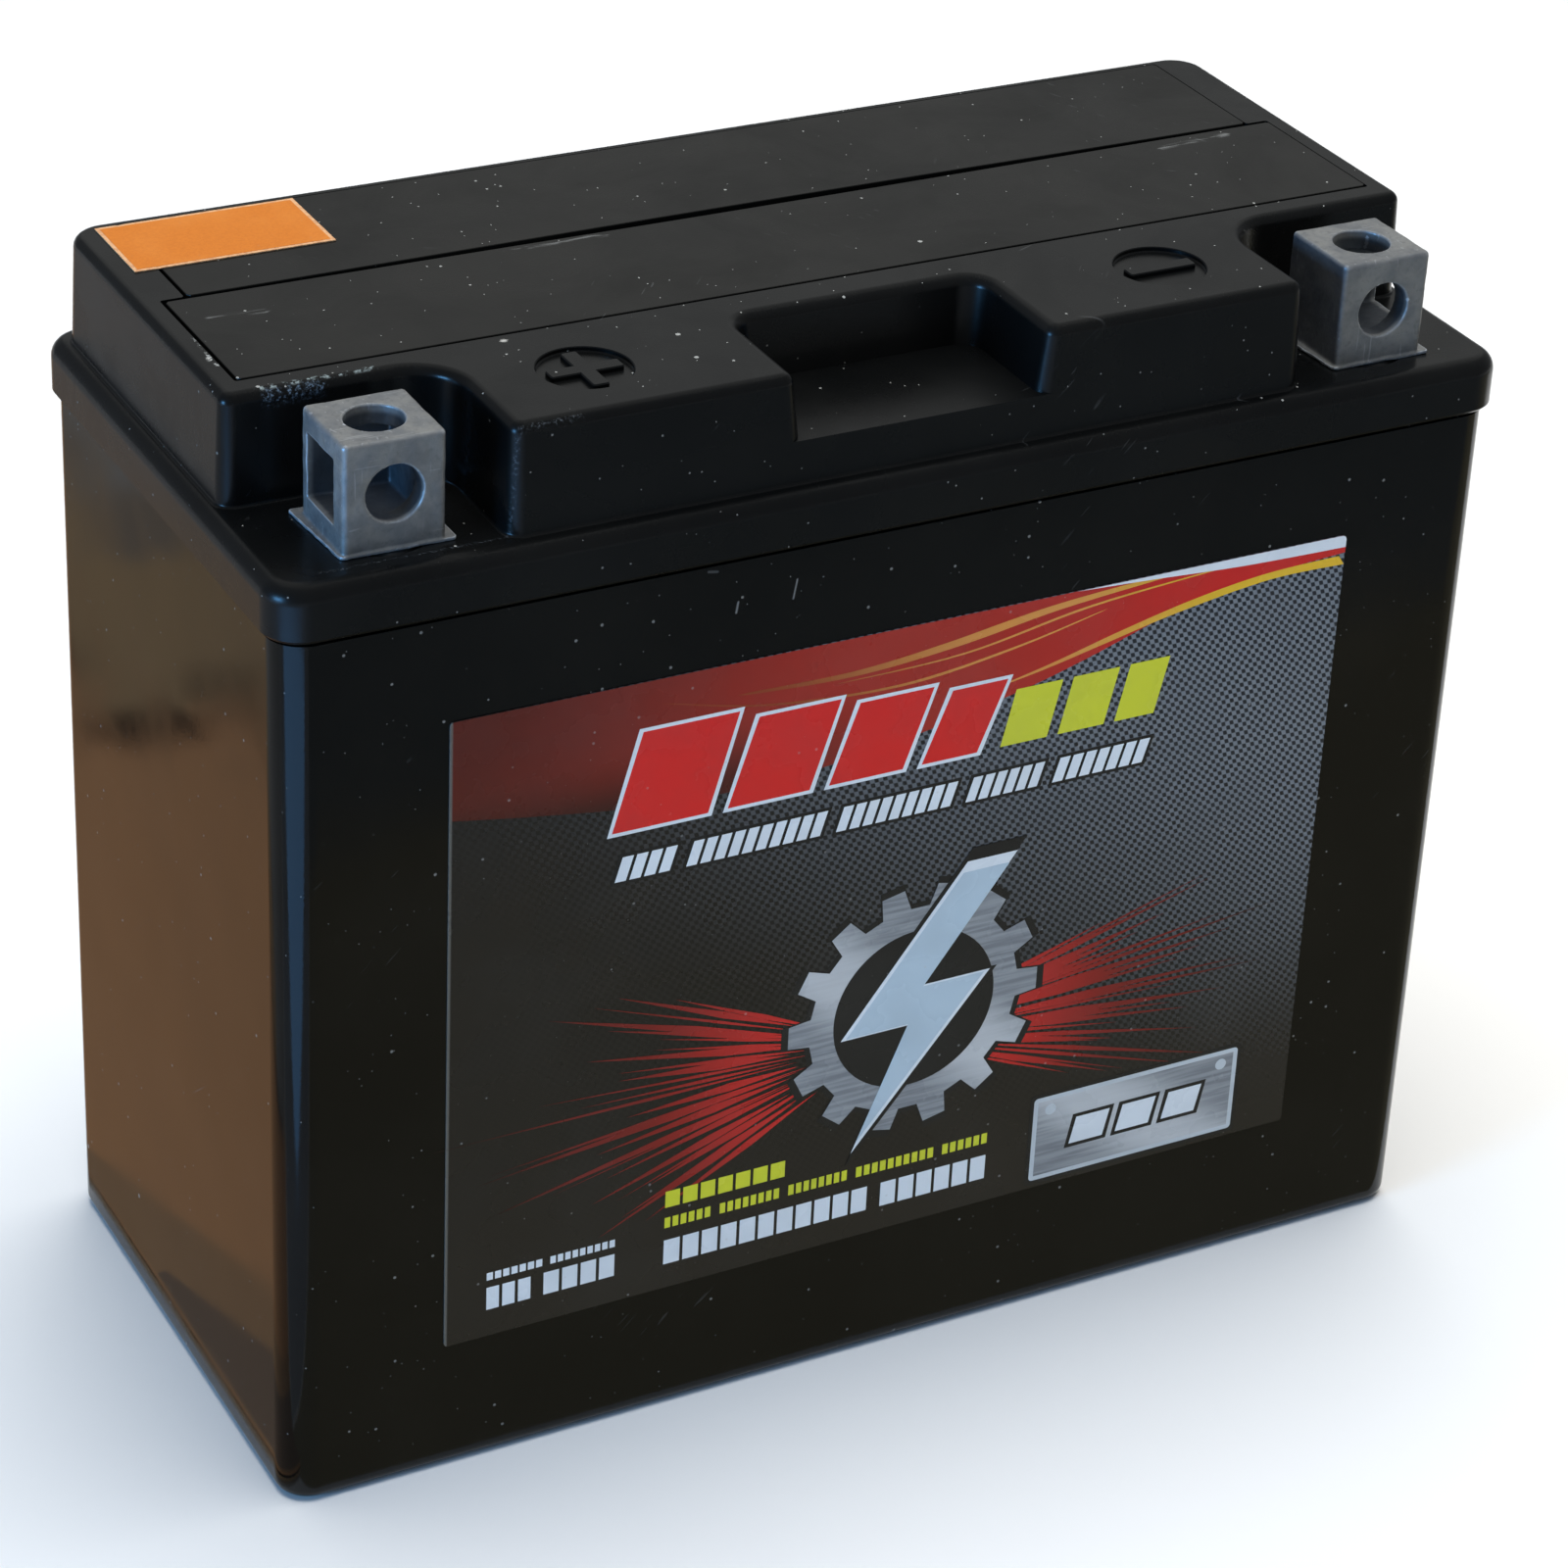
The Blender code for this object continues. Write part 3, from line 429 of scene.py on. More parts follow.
class Nodes:
    """Adds and links the shader nodes of one material."""

    def __init__(self, name, roughness=0.5, metallic=0.0, specular=0.5, coat=0.0, coat_roughness=0.1):
        self.material = bpy.data.materials.new(name)
        self.material.use_nodes = True
        self.tree = self.material.node_tree
        self.shader = self.tree.nodes["Principled BSDF"]
        self.shader.inputs["Roughness"].default_value = roughness
        self.shader.inputs["Metallic"].default_value = metallic
        self.shader.inputs["Specular IOR Level"].default_value = specular
        self.shader.inputs["Coat Weight"].default_value = coat
        self.shader.inputs["Coat Roughness"].default_value = coat_roughness
        coordinates = self.tree.nodes.new("ShaderNodeTexCoord")
        scaled = self.add("ShaderNodeVectorMath", {0: coordinates.outputs["Object"]}, operation="SCALE")
        scaled.inputs["Scale"].default_value = 1 / MM
        self.place = scaled.outputs[0]
        axes = self.add("ShaderNodeSeparateXYZ", {0: self.place})
        self.x, self.y, self.z = axes.outputs

    def add(self, kind, inputs, **settings):
        made = self.tree.nodes.new(kind)
        for key, value in settings.items():
            setattr(made, key, value)
        for key, value in inputs.items():
            if isinstance(value, bpy.types.NodeSocket):
                self.tree.links.new(value, made.inputs[key])
            else:
                made.inputs[key].default_value = value
        return made

    def math(self, operation, first, second=0.0, third=0.0):
        inputs = {0: first, 1: second, 2: third}
        return self.add("ShaderNodeMath", inputs, operation=operation).outputs[0]

    def noise(self, scale, detail=3.0, roughness=0.5, stretch=None, distortion=0.0):
        """Noise with the given number of features a millimetre; stretch scales its axes."""
        place = self.place
        if stretch is not None:
            place = self.add("ShaderNodeVectorMath", {0: place, 1: stretch}, operation="MULTIPLY").outputs[0]
        inputs = {"Vector": place, "Scale": scale, "Detail": detail}
        inputs.update({"Roughness": roughness, "Distortion": distortion})
        return self.add("ShaderNodeTexNoise", inputs).outputs["Fac"]

    def patches(self, scale, low, high, out_low=0.0, out_high=1.0, **pattern):
        """Soft patches: noise at the given scale, mapped from low..high to out_low..out_high."""
        return self.between(self.noise(scale, **pattern), low, high, out_low, out_high)

    def spots(self, spacing, size, share, seed=0.0):
        """1 in scattered specks: the cells' spacing, a speck's size in mm, the share of cells with one."""
        shifted = self.add("ShaderNodeVectorMath", {0: self.place, 1: (seed, seed, seed)}, operation="ADD")
        cells = self.add("ShaderNodeTexVoronoi", {"Vector": shifted.outputs[0], "Scale": 1 / spacing})
        tint = self.add("ShaderNodeSeparateColor", {0: cells.outputs["Color"]})
        chosen = self.math("LESS_THAN", tint.outputs[0], share)
        reach = self.math("MULTIPLY", tint.outputs[1], size / spacing)
        inside = self.math("LESS_THAN", cells.outputs["Distance"], reach)
        return self.math("MULTIPLY", chosen, inside)

    def between(self, value, low, high, out_low=0.0, out_high=1.0):
        """Map a value from low..high to out_low..out_high, smoothly and held at the ends."""
        inputs = {"Value": value, "From Min": low, "From Max": high, "To Min": out_low, "To Max": out_high}
        return self.add("ShaderNodeMapRange", inputs, interpolation_type="SMOOTHSTEP").outputs["Result"]

    def mix(self, factor, first, second):
        inputs = {0: factor, 6: self.rgba(first), 7: self.rgba(second)}
        return self.add("ShaderNodeMix", inputs, data_type="RGBA").outputs[2]

    @staticmethod
    def rgba(color):
        return color if isinstance(color, bpy.types.NodeSocket) else (*color, 1.0)

    def upward(self):
        """How far the surface faces up, 0 to 1."""
        normal = self.add("ShaderNodeNewGeometry", {}).outputs["Normal"]
        return self.math("MAXIMUM", self.add("ShaderNodeSeparateXYZ", {0: normal}).outputs[2], 0.0)

    def color(self, socket):
        self.tree.links.new(socket, self.shader.inputs["Base Color"])

    def roughness(self, socket):
        self.tree.links.new(socket, self.shader.inputs["Roughness"])

    def metallic(self, socket):
        self.tree.links.new(socket, self.shader.inputs["Metallic"])

    def bump(self, height, distance, strength=1.0):
        """Bump from a 0..1 height, whose full depth is distance in mm; calls add up."""
        inputs = {"Height": height, "Distance": distance * MM, "Strength": strength}
        bump = self.add("ShaderNodeBump", inputs)
        before = self.shader.inputs["Normal"].links
        if before:
            self.tree.links.new(before[0].from_socket, bump.inputs["Normal"])
        self.tree.links.new(bump.outputs[0], self.shader.inputs["Normal"])


def line_mask(nodes, start, end, reach, upright_plane=False):
    """1 on the line between two points in mm, falling to 0 at the reach.

    The points are (x, y) seen from above or, on the upright plane, (x, z) seen from the front.
    """
    length = math.dist(start, end)
    ux, uy = (end[0] - start[0]) / length, (end[1] - start[1]) / length
    from_x = nodes.math("SUBTRACT", nodes.x, start[0])
    from_y = nodes.math("SUBTRACT", nodes.z if upright_plane else nodes.y, start[1])
    along = nodes.math("MULTIPLY_ADD", from_x, ux, nodes.math("MULTIPLY", from_y, uy))
    sideways = nodes.math("MULTIPLY_ADD", from_x, -uy, nodes.math("MULTIPLY", from_y, ux))
    across = nodes.math("ABSOLUTE", sideways)
    past = nodes.math("ABSOLUTE", nodes.math("SUBTRACT", along, length / 2))
    over = nodes.math("MAXIMUM", nodes.math("SUBTRACT", past, length / 2), 0.0)
    return nodes.between(nodes.math("ADD", over, across), 0.0, reach, 1.0, 0.0)


def add_scratches(nodes, color, tone, amount):
    """Short hairline scratches at several slants, kept to a few patches."""
    for slant, seed in ((0.35, 3.0), (-0.55, 17.0), (1.2, 31.0), (-1.9, 47.0)):
        along = nodes.math("MULTIPLY_ADD", nodes.y, slant, nodes.math("ADD", nodes.x, nodes.z))
        leaning = nodes.math("MULTIPLY_ADD", nodes.z, slant, nodes.y)
        across = nodes.math("MULTIPLY_ADD", nodes.x, -slant, leaning)
        squeezed = nodes.math("MULTIPLY", along, 0.10)
        turned = nodes.add("ShaderNodeCombineXYZ", {0: squeezed, 1: across, 2: seed})
        hair = nodes.add("ShaderNodeTexNoise", {"Vector": turned.outputs[0], "Scale": 1.6, "Detail": 0.0})
        patch = nodes.patches(0.045, 0.60, 0.70, stretch=(1.0, 1.0, 1.0 + seed / 100))
        line = nodes.between(hair.outputs["Fac"], 0.80, 0.84, 0.0, amount)
        color = nodes.mix(nodes.math("MULTIPLY", line, patch), color, tone)
    return color


def add_dust(nodes, color, tone, on_top, on_side):
    """Sparse pale specks, more of them on faces that look up."""
    share = nodes.between(nodes.upward(), 0.3, 0.9, on_side, on_top)
    for spacing, size, seed in ((2.6, 0.19, 0.0), (1.3, 0.11, 11.3), (6.0, 0.30, 5.7)):
        specks = nodes.math("MULTIPLY", nodes.spots(spacing, size, 0.62, seed), share)
        color = nodes.mix(specks, color, tone)
    return color


def moulded_plastic(name, base, haze, specular):
    """Satin black moulding with cloudy handling marks, scratches and dust: its nodes and its colour."""
    nodes = Nodes(name, specular=specular)
    color = nodes.mix(nodes.patches(0.035, 0.35, 0.7, detail=4.0, roughness=0.6), base, haze)
    color = add_scratches(nodes, color, (0.16, 0.17, 0.18), 0.18)
    color = add_dust(nodes, color, (0.34, 0.35, 0.34), 0.9, 0.45)
    return nodes, color


def finish_plastic(nodes, color, roughness, wave=0.06):
    """Roughness that follows handling smudges, a fine grain and the slow waves of a moulded wall."""
    nodes.color(color)
    smudges = nodes.noise(0.06, detail=5.0, roughness=0.65, distortion=0.6)
    nodes.roughness(nodes.between(smudges, 0.3, 0.75, roughness - 0.04, roughness + 0.07))
    nodes.bump(nodes.noise(3.0, detail=2.0), 0.006)
    nodes.bump(nodes.noise(0.05, detail=1.5), wave)
    return nodes.material


def front_tick(nodes, color, start, end, reach, strength):
    """A pale nick in the front wall between two (x, z) points in mm."""
    front = nodes.between(nodes.y, -CASE_Y / MM + 0.2, -CASE_Y / MM + 0.4, 1.0, 0.0)
    tick = nodes.math("MULTIPLY", line_mask(nodes, start, end, reach, upright_plane=True), front)
    return nodes.mix(nodes.math("MULTIPLY", tick, strength), color, (0.30, 0.31, 0.32))


def case_plastic():
    base, haze = (0.0032, 0.0030, 0.0025), (0.0056, 0.0052, 0.0043)
    nodes, color = moulded_plastic("case_moulding", base, haze, 0.27)
    ragged = nodes.math("MULTIPLY_ADD", nodes.noise(0.5), 4.0, nodes.z)
    color = nodes.mix(nodes.between(ragged, 1.0, 4.5, 0.25, 0.0), color, (0.04, 0.036, 0.032))
    for start, end, reach, strength in FRONT_TICKS:
        color = front_tick(nodes, color, start, end, reach, strength)
    return finish_plastic(nodes, color, 0.10, wave=0.14)


def lid_plastic():
    base, haze = (0.0024, 0.0027, 0.0029), (0.0044, 0.0047, 0.0047)
    nodes, color = moulded_plastic("lid_moulding", base, haze, 0.30)
    near_rim = nodes.between(nodes.z, TOP / MM - 2.4, TOP / MM - 0.5)
    chips = nodes.patches(1.1, 0.50, 0.60, detail=6.0, roughness=0.75)
    flakes = nodes.patches(2.6, 0.52, 0.60, detail=6.0, roughness=0.8)
    beside = -STRIP_POCKET_X / MM - 0.25
    # Worn lines, one painted reflection and one painted highlight: two (x, y) ends in mm, reach in mm,
    # pattern, tone, and whether only the rim gets the line
    for start, end, reach, pattern, tone, rim_only in (
        ((-68.3, -13.6), (-55.0, -13.5), 0.48, chips, (0.24, 0.30, 0.31), True),
        ((-67.6, -14.5), (-61.5, -14.4), 0.95, flakes, (0.10, 0.15, 0.21), True),
        # A painted reflection: faint light arcs on the rounded corner of the left recess
        ((-52.5, -15.5), (-48.8, -19.0), 0.90, flakes, (0.05, 0.07, 0.09), True),
        ((beside, 0.6), (beside, -7.2), 0.28, chips, (0.38, 0.40, 0.40), True),
        ((beside - 0.2, -4.9), (beside - 0.2, -5.9), 0.45, chips, (0.45, 0.46, 0.45), True),
        # A painted highlight with small chips in it, along the front of the lid's left ledge
        ((-69.0, -31.6), (-40.0, -31.6), 0.35, flakes, (0.06, 0.07, 0.08), False),
    ):
        worn = nodes.math("MULTIPLY", line_mask(nodes, start, end, reach), pattern)
        if rim_only:
            worn = nodes.math("MULTIPLY", worn, near_rim)
        color = nodes.mix(worn, color, tone)
    gate = line_mask(nodes, (-40.3, -12.6), (-40.0, -12.55), 0.55)
    color = nodes.mix(nodes.math("MULTIPLY", gate, nodes.upward()), color, (0.42, 0.42, 0.40))
    return finish_plastic(nodes, color, 0.27)


def plate_plastic():
    base, haze = (0.0034, 0.0034, 0.0030), (0.0062, 0.0060, 0.0052)
    nodes, color = moulded_plastic("lid_plate_moulding", base, haze, 0.30)
    streaky = nodes.patches(1.2, 0.45, 0.65, detail=4.0, stretch=(0.25, 1.6, 1.0))
    for start, end in PLATE_SCUFFS:
        scuff = nodes.math("MULTIPLY", line_mask(nodes, start, end, 0.7), streaky)
        color = nodes.mix(nodes.math("MULTIPLY", scuff, 0.5), color, (0.24, 0.25, 0.25))
    return finish_plastic(nodes, color, 0.30)


def cast_lead():
    """Dull cast lead: cloudy grey, bright worn edges, file marks, and painted shade in two places.

    The painted shade darkens the inside of the hollow cube and its side that faces the lid block.
    """
    nodes = Nodes("cast_lead_surface", roughness=0.45, metallic=0.55)
    blotches = nodes.patches(0.30, 0.35, 0.68, detail=5.0, roughness=0.6)
    color = nodes.mix(blotches, (0.19, 0.20, 0.21), (0.28, 0.285, 0.28))
    dull = nodes.patches(1.6, 0.54, 0.68, 0.0, 0.30, detail=3.0)
    color = nodes.mix(dull, color, (0.13, 0.135, 0.14))
    pointed = nodes.add("ShaderNodeNewGeometry", {}).outputs["Pointiness"]
    color = nodes.mix(nodes.between(pointed, 0.512, 0.57), color, (0.58, 0.64, 0.70))
    for stretch in ((0.05, 1.0, 0.6), (0.7, 0.4, 0.05)):
        lines = nodes.patches(3.0, 0.68, 0.73, 0.0, 0.4, detail=1.0, stretch=stretch)
        color = nodes.mix(lines, color, (0.48, 0.50, 0.52))

    # Painted shade: the colour is darker inside the hollow cube
    out_x = nodes.math("ABSOLUTE", nodes.x)
    from_x = nodes.math("ABSOLUTE", nodes.math("SUBTRACT", out_x, TERMINAL_X / MM))
    from_y = nodes.math("ABSOLUTE", nodes.math("SUBTRACT", nodes.y, TERMINAL_Y / MM))
    in_x = nodes.between(from_x, TERMINAL_HALF_X / MM - 0.9, TERMINAL_HALF_X / MM - 0.3, 1.0, 0.0)
    in_y = nodes.between(from_y, TERMINAL_HALF_Y / MM - 0.9, TERMINAL_HALF_Y / MM - 0.3, 1.0, 0.0)
    in_z = nodes.between(nodes.z, TOP / MM - 1.2, TOP / MM - 0.5, 1.0, 0.0)
    inside = nodes.math("MULTIPLY", nodes.math("MULTIPLY", in_x, in_y), in_z)
    color = nodes.mix(nodes.math("MULTIPLY", inside, 0.82), color, (0.030, 0.040, 0.055))
    # Painted shade: the cube's side that faces the lid block is darker above its skirt
    block_side = (TERMINAL_X - TERMINAL_HALF_X) / MM
    block_side_shade = nodes.between(out_x, block_side - 0.1, block_side + 0.4, 0.65, 0.0)
    above_skirt = nodes.between(nodes.z, BAND_TOP / MM + 0.5, BAND_TOP / MM + 1.0)
    nodes.color(nodes.mix(nodes.math("MULTIPLY", block_side_shade, above_skirt), color, (0.030, 0.040, 0.060)))
    nodes.roughness(nodes.patches(0.8, 0.3, 0.7, 0.34, 0.54, detail=4.0))
    nodes.bump(nodes.noise(1.1, detail=4.0, roughness=0.6), 0.04)
    nodes.bump(nodes.noise(5.0, detail=2.0), 0.010)
    return nodes.material


def soft_rubber():
    nodes = Nodes("soft_rubber", roughness=0.75, specular=0.3)
    bloom = nodes.patches(0.6, 0.4, 0.7, detail=4.0)
    nodes.color(nodes.mix(bloom, (0.018, 0.018, 0.018), (0.05, 0.05, 0.048)))
    nodes.bump(nodes.noise(4.0, detail=3.0), 0.02)
    return nodes.material


def plate_paste(name, dark, light):
    """Dried paste on a cast grid: a crumbly grain with the grid's wires showing faintly."""
    nodes = Nodes(name, roughness=0.9, specular=0.2)
    grain = nodes.noise(2.5, detail=5.0, roughness=0.7)
    color = nodes.mix(nodes.between(grain, 0.35, 0.65), dark, light)
    from_wires = []
    for place, pitch in ((nodes.z, 6.0), (nodes.y, 9.0)):
        turns = nodes.math("MULTIPLY", place, math.pi / pitch)
        from_wires.append(nodes.math("ABSOLUTE", nodes.math("SINE", turns)))
    wires = nodes.between(nodes.math("MINIMUM", *from_wires), 0.0, 0.16, 1.0, 0.0)
    cast = nodes.between(nodes.z, PASTE_TOP, PASTE_TOP + 1.5)
    lead = nodes.math("MAXIMUM", cast, nodes.math("MULTIPLY", wires, 0.35))
    nodes.color(nodes.mix(lead, color, (0.30, 0.31, 0.33)))
    nodes.metallic(nodes.math("MULTIPLY", cast, 0.9))
    nodes.roughness(nodes.between(cast, 0.0, 1.0, 0.92, 0.5))
    nodes.bump(grain, 0.06)
    nodes.bump(wires, 0.12)
    return nodes.material


def glass_mat():
    """White glass wool: crossing fibres and soft clumps."""
    nodes = Nodes("glass_fibre_mat", roughness=0.95, specular=0.25)
    fibres = nodes.math(
        "MAXIMUM",
        nodes.noise(3.0, detail=3.0, stretch=(1.0, 0.12, 1.0)),
        nodes.noise(3.0, detail=3.0, stretch=(1.0, 1.0, 0.12)),
    )
    clumps = nodes.noise(0.25, detail=4.0)
    color = nodes.mix(nodes.between(fibres, 0.45, 0.7), (0.70, 0.70, 0.66), (0.90, 0.90, 0.87))
    nodes.color(nodes.mix(nodes.between(clumps, 0.5, 0.75, 0.0, 0.35), color, (0.60, 0.60, 0.55)))
    nodes.bump(fibres, 0.08)
    return nodes.material


def printed(name, color_of, roughness=0.26):
    """Glossy print: the color_of function draws its colour, and fine dust and rubbing lie over it."""
    nodes = Nodes(name, roughness=roughness, specular=0.4, coat=0.25, coat_roughness=0.12)
    color = color_of(nodes)
    haze = nodes.patches(0.04, 0.5, 0.75, 0.0, 0.012, detail=4.0)
    color = nodes.mix(haze, color, (0.5, 0.5, 0.5))
    nodes.color(add_dust(nodes, color, (0.5, 0.5, 0.5), 0.5, 0.25))
    nodes.roughness(nodes.patches(0.12, 0.3, 0.7, roughness - 0.05, roughness + 0.08, detail=4.0))
    nodes.bump(nodes.noise(0.10, detail=2.0), 0.04)
    return nodes.material


def film_edge(nodes, color):
    """The pale line where the film's left edge catches the light."""
    edge = nodes.between(nodes.x, -LABEL_X / MM + 0.20, -LABEL_X / MM + 0.42, 0.9, 0.0)
    return nodes.mix(edge, color, (0.13, 0.13, 0.12))


def film_color(nodes):
    """Black film with a fine grey mesh that is brightest at the upper right, and warm lower down."""
    leaning = nodes.math("MULTIPLY_ADD", nodes.z, 0.28, nodes.x)
    columns = nodes.math("COSINE", nodes.math("MULTIPLY", leaning, 2 * math.pi / MESH_PITCH_X))
    rows = nodes.math("COSINE", nodes.math("MULTIPLY", nodes.z, 2 * math.pi / MESH_PITCH_Z))
    holes = nodes.between(nodes.math("MULTIPLY", columns, rows), -0.25, 0.35)
    rise = nodes.math("MULTIPLY_ADD", nodes.x, 0.55, nodes.z)
    lit = nodes.between(rise, 40.0, 104.0)
    ground = nodes.mix(lit, (0.006, 0.006, 0.006), (0.014, 0.018, 0.026))
    thread = nodes.mix(lit, (0.018, 0.016, 0.015), (0.185, 0.215, 0.255))
    color = nodes.mix(holes, thread, ground)
    left = nodes.between(nodes.x, -58.0, -4.0, 0.85, 0.0)
    color = nodes.mix(left, color, (0.013, 0.011, 0.010))
    low = nodes.between(nodes.z, 20.0, 50.0, 0.9, 0.0)
    return film_edge(nodes, nodes.mix(low, color, (0.016, 0.013, 0.011)))


def red_color(nodes):
    """Bright red in the middle, dark red to black at the left and along the lower edge."""
    leaning = nodes.math("SUBTRACT", nodes.x, nodes.math("MULTIPLY", nodes.z, 0.4))
    lit = nodes.between(leaning, -92.0, -38.0)
    color = nodes.mix(lit, (0.105, 0.010, 0.005), (0.40, 0.020, 0.011))
    hot = nodes.between(nodes.x, 0.0, 45.0)
    color = nodes.mix(hot, color, (0.62, 0.010, 0.008))
    low_left = nodes.math("MULTIPLY_ADD", nodes.x, -0.08, nodes.z)
    fade = nodes.between(low_left, 83.0, 92.0, 0.9, 0.0)
    fade = nodes.math("MULTIPLY", fade, nodes.between(nodes.x, -30.0, 6.0, 1.0, 0.0))
    return film_edge(nodes, nodes.mix(fade, color, (0.014, 0.006, 0.005)))


def stripe_color(nodes):
    color = nodes.mix(nodes.between(nodes.x, -20.0, 14.0), (0.30, 0.05, 0.012), (0.72, 0.30, 0.06))
    return nodes.mix(nodes.between(nodes.x, 16.0, 42.0), color, (0.80, 0.50, 0.02))


def streak_color(nodes):
    """Red rays, bright at their root and dark at their tips."""
    from_x = nodes.math("SUBTRACT", nodes.x, RAY_CENTRE[0])
    from_z = nodes.math("SUBTRACT", nodes.z, RAY_CENTRE[1])
    squares = [nodes.math("MULTIPLY", part, part) for part in (from_x, from_z)]
    distance = nodes.math("SQRT", nodes.math("ADD", *squares))
    color = nodes.mix(nodes.between(distance, 12.0, 34.0), (0.60, 0.014, 0.012), (0.20, 0.010, 0.008))
    return nodes.mix(nodes.between(distance, 34.0, 52.0), color, (0.035, 0.010, 0.009))


def silver_color(nodes):
    """Brushed silver with a bright diagonal band."""
    brushed = nodes.noise(2.0, detail=3.0, stretch=(0.05, 1.0, 1.0))
    color = nodes.mix(nodes.between(brushed, 0.35, 0.65), (0.20, 0.22, 0.25), (0.30, 0.33, 0.36))
    slanted = nodes.math("MULTIPLY_ADD", nodes.z, 1.4, nodes.x)
    glint = nodes.math("ABSOLUTE", nodes.math("SUBTRACT", slanted, 66.0))
    return nodes.mix(nodes.between(glint, 2.0, 13.0, 0.75, 0.0), color, (0.62, 0.66, 0.70))


def flat_color(color, deeper=0.93):
    """A print colour with a slight unevenness."""

    def draw(nodes):
        darker = tuple(part * deeper for part in color)
        return nodes.mix(nodes.patches(0.12, 0.4, 0.7, detail=2.0), color, darker)

    return draw


def sticker_paper():
    nodes = Nodes("orange_paper", roughness=0.55, specular=0.35)
    fibre = nodes.noise(3.0, detail=4.0, roughness=0.7)
    color = nodes.mix(nodes.between(fibre, 0.35, 0.7), (0.54, 0.165, 0.017), (0.48, 0.138, 0.014))
    fade = nodes.between(nodes.noise(0.12, detail=3.0), 0.45, 0.7, 0.0, 0.35)
    color = nodes.mix(fade, color, (0.60, 0.22, 0.040))
    nodes.color(add_dust(nodes, color, (0.35, 0.20, 0.12), 0.45, 0.2))
    nodes.bump(fibre, 0.01)
    return nodes.material


def pale_paper():
    nodes = Nodes("pale_paper_edge", roughness=0.6, specular=0.35)
    nodes.color(nodes.mix(nodes.patches(2.0, 0.4, 0.65, detail=4.0), (0.62, 0.36, 0.19), (0.50, 0.26, 0.13)))
    nodes.bump(nodes.noise(3.0, detail=3.0), 0.01)
    return nodes.material


# Case

def cell_centre(cell):
    return -INNER_X + CELL_WIDTH / 2 + cell * CELL_PITCH


def add_cells(shape):
    """The six cells, with two ribs on each floor."""
    rib_top = FLOOR_TOP + REST_RIB_HEIGHT
    above = TONGUE_TOP + OVERLAP
    outline = [(-INNER_Y, above), (-INNER_Y, FLOOR_TOP)]
    for rib_y in (-REST_RIB_Y, REST_RIB_Y):
        half = REST_RIB_WIDTH / 2
        for offset, z in ((-half, FLOOR_TOP), (-half / 2, rib_top), (half / 2, rib_top), (half, FLOOR_TOP)):
            outline.append((rib_y + offset, z))
    outline += [(INNER_Y, FLOOR_TOP), (INNER_Y, above)]
    for cell in range(CELLS):
        sides = (cell_centre(cell) - CELL_WIDTH / 2, cell_centre(cell) + CELL_WIDTH / 2)
        loft(shape, [[(x, y, z) for y, z in outline] for x in sides])


def add_weld_holes(shape):
    """Holes through the partitions for the welds between neighbouring cells."""
    for cell in range(CELLS - 1):
        low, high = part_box(f"intercell_weld_{cell + 1}")
        radius = (high.z - low.z) / 2 + CLEARANCE
        profile = [(radius, -PARTITION), (radius, PARTITION)]
        turned_solid(shape, (low + high) / 2, profile, axis="X", segments=32)


def build_case(material):
    corners = rectangle(-CASE_X, CASE_X, -CASE_Y, CASE_Y, CASE_CORNER, 12)
    shoulder = BAND_BOTTOM - SEAM_GAP
    levels = [(CASE_BOTTOM_EDGE * cosine, CASE_BOTTOM_EDGE * sine) for sine, cosine in quarter_steps(6)]
    levels += [(shoulder, 0.0), (shoulder, TONGUE_STEP), (TONGUE_TOP, TONGUE_STEP)]
    case = make_piece("case", solid(upright, corners, levels))
    cut(case, solid(add_cells))
    cut(case, solid(add_weld_holes))
    return finish_piece(case, material, replaced=["container"])


# Lid

def block_corners(z):
    """Corners of the lid block at height z, with the notch; its walls lean out more than the others."""
    draft = BLOCK_DRAFT * (z - BAND_TOP)
    opened = NOTCH_DRAFT * (z - NOTCH_FLOOR) - draft
    half = NOTCH_HALF + opened
    back = NOTCH_BACK + opened
    small = BLOCK_SHARP_CORNER
    steps = BLOCK_CORNER_STEPS
    return [
        (-RECESS_X, BLOCK_FRONT, small, steps),
        (-half, BLOCK_FRONT, small, steps),
        (-half, back, NOTCH_CORNER, steps),
        (half, back, NOTCH_CORNER, steps),
        (half, BLOCK_FRONT, small, steps),
        (RECESS_X, BLOCK_FRONT, small, steps),
        (RECESS_X, RECESS_BACK, RECESS_CORNER, 14),
        (BLOCK_X, RECESS_BACK, small, steps),
        (BLOCK_X, BLOCK_BACK, BLOCK_CORNER, 12),
        (-BLOCK_X, BLOCK_BACK, BLOCK_CORNER, 12),
        (-BLOCK_X, RECESS_BACK, small, steps),
        (-RECESS_X, RECESS_BACK, RECESS_CORNER, 14),
    ]


def block_ring(z, rounding):
    inset = BLOCK_DRAFT * (z - BAND_TOP) + rounding
    return [(x, y, z) for x, y in rounded_outline(block_corners(z), inset)]


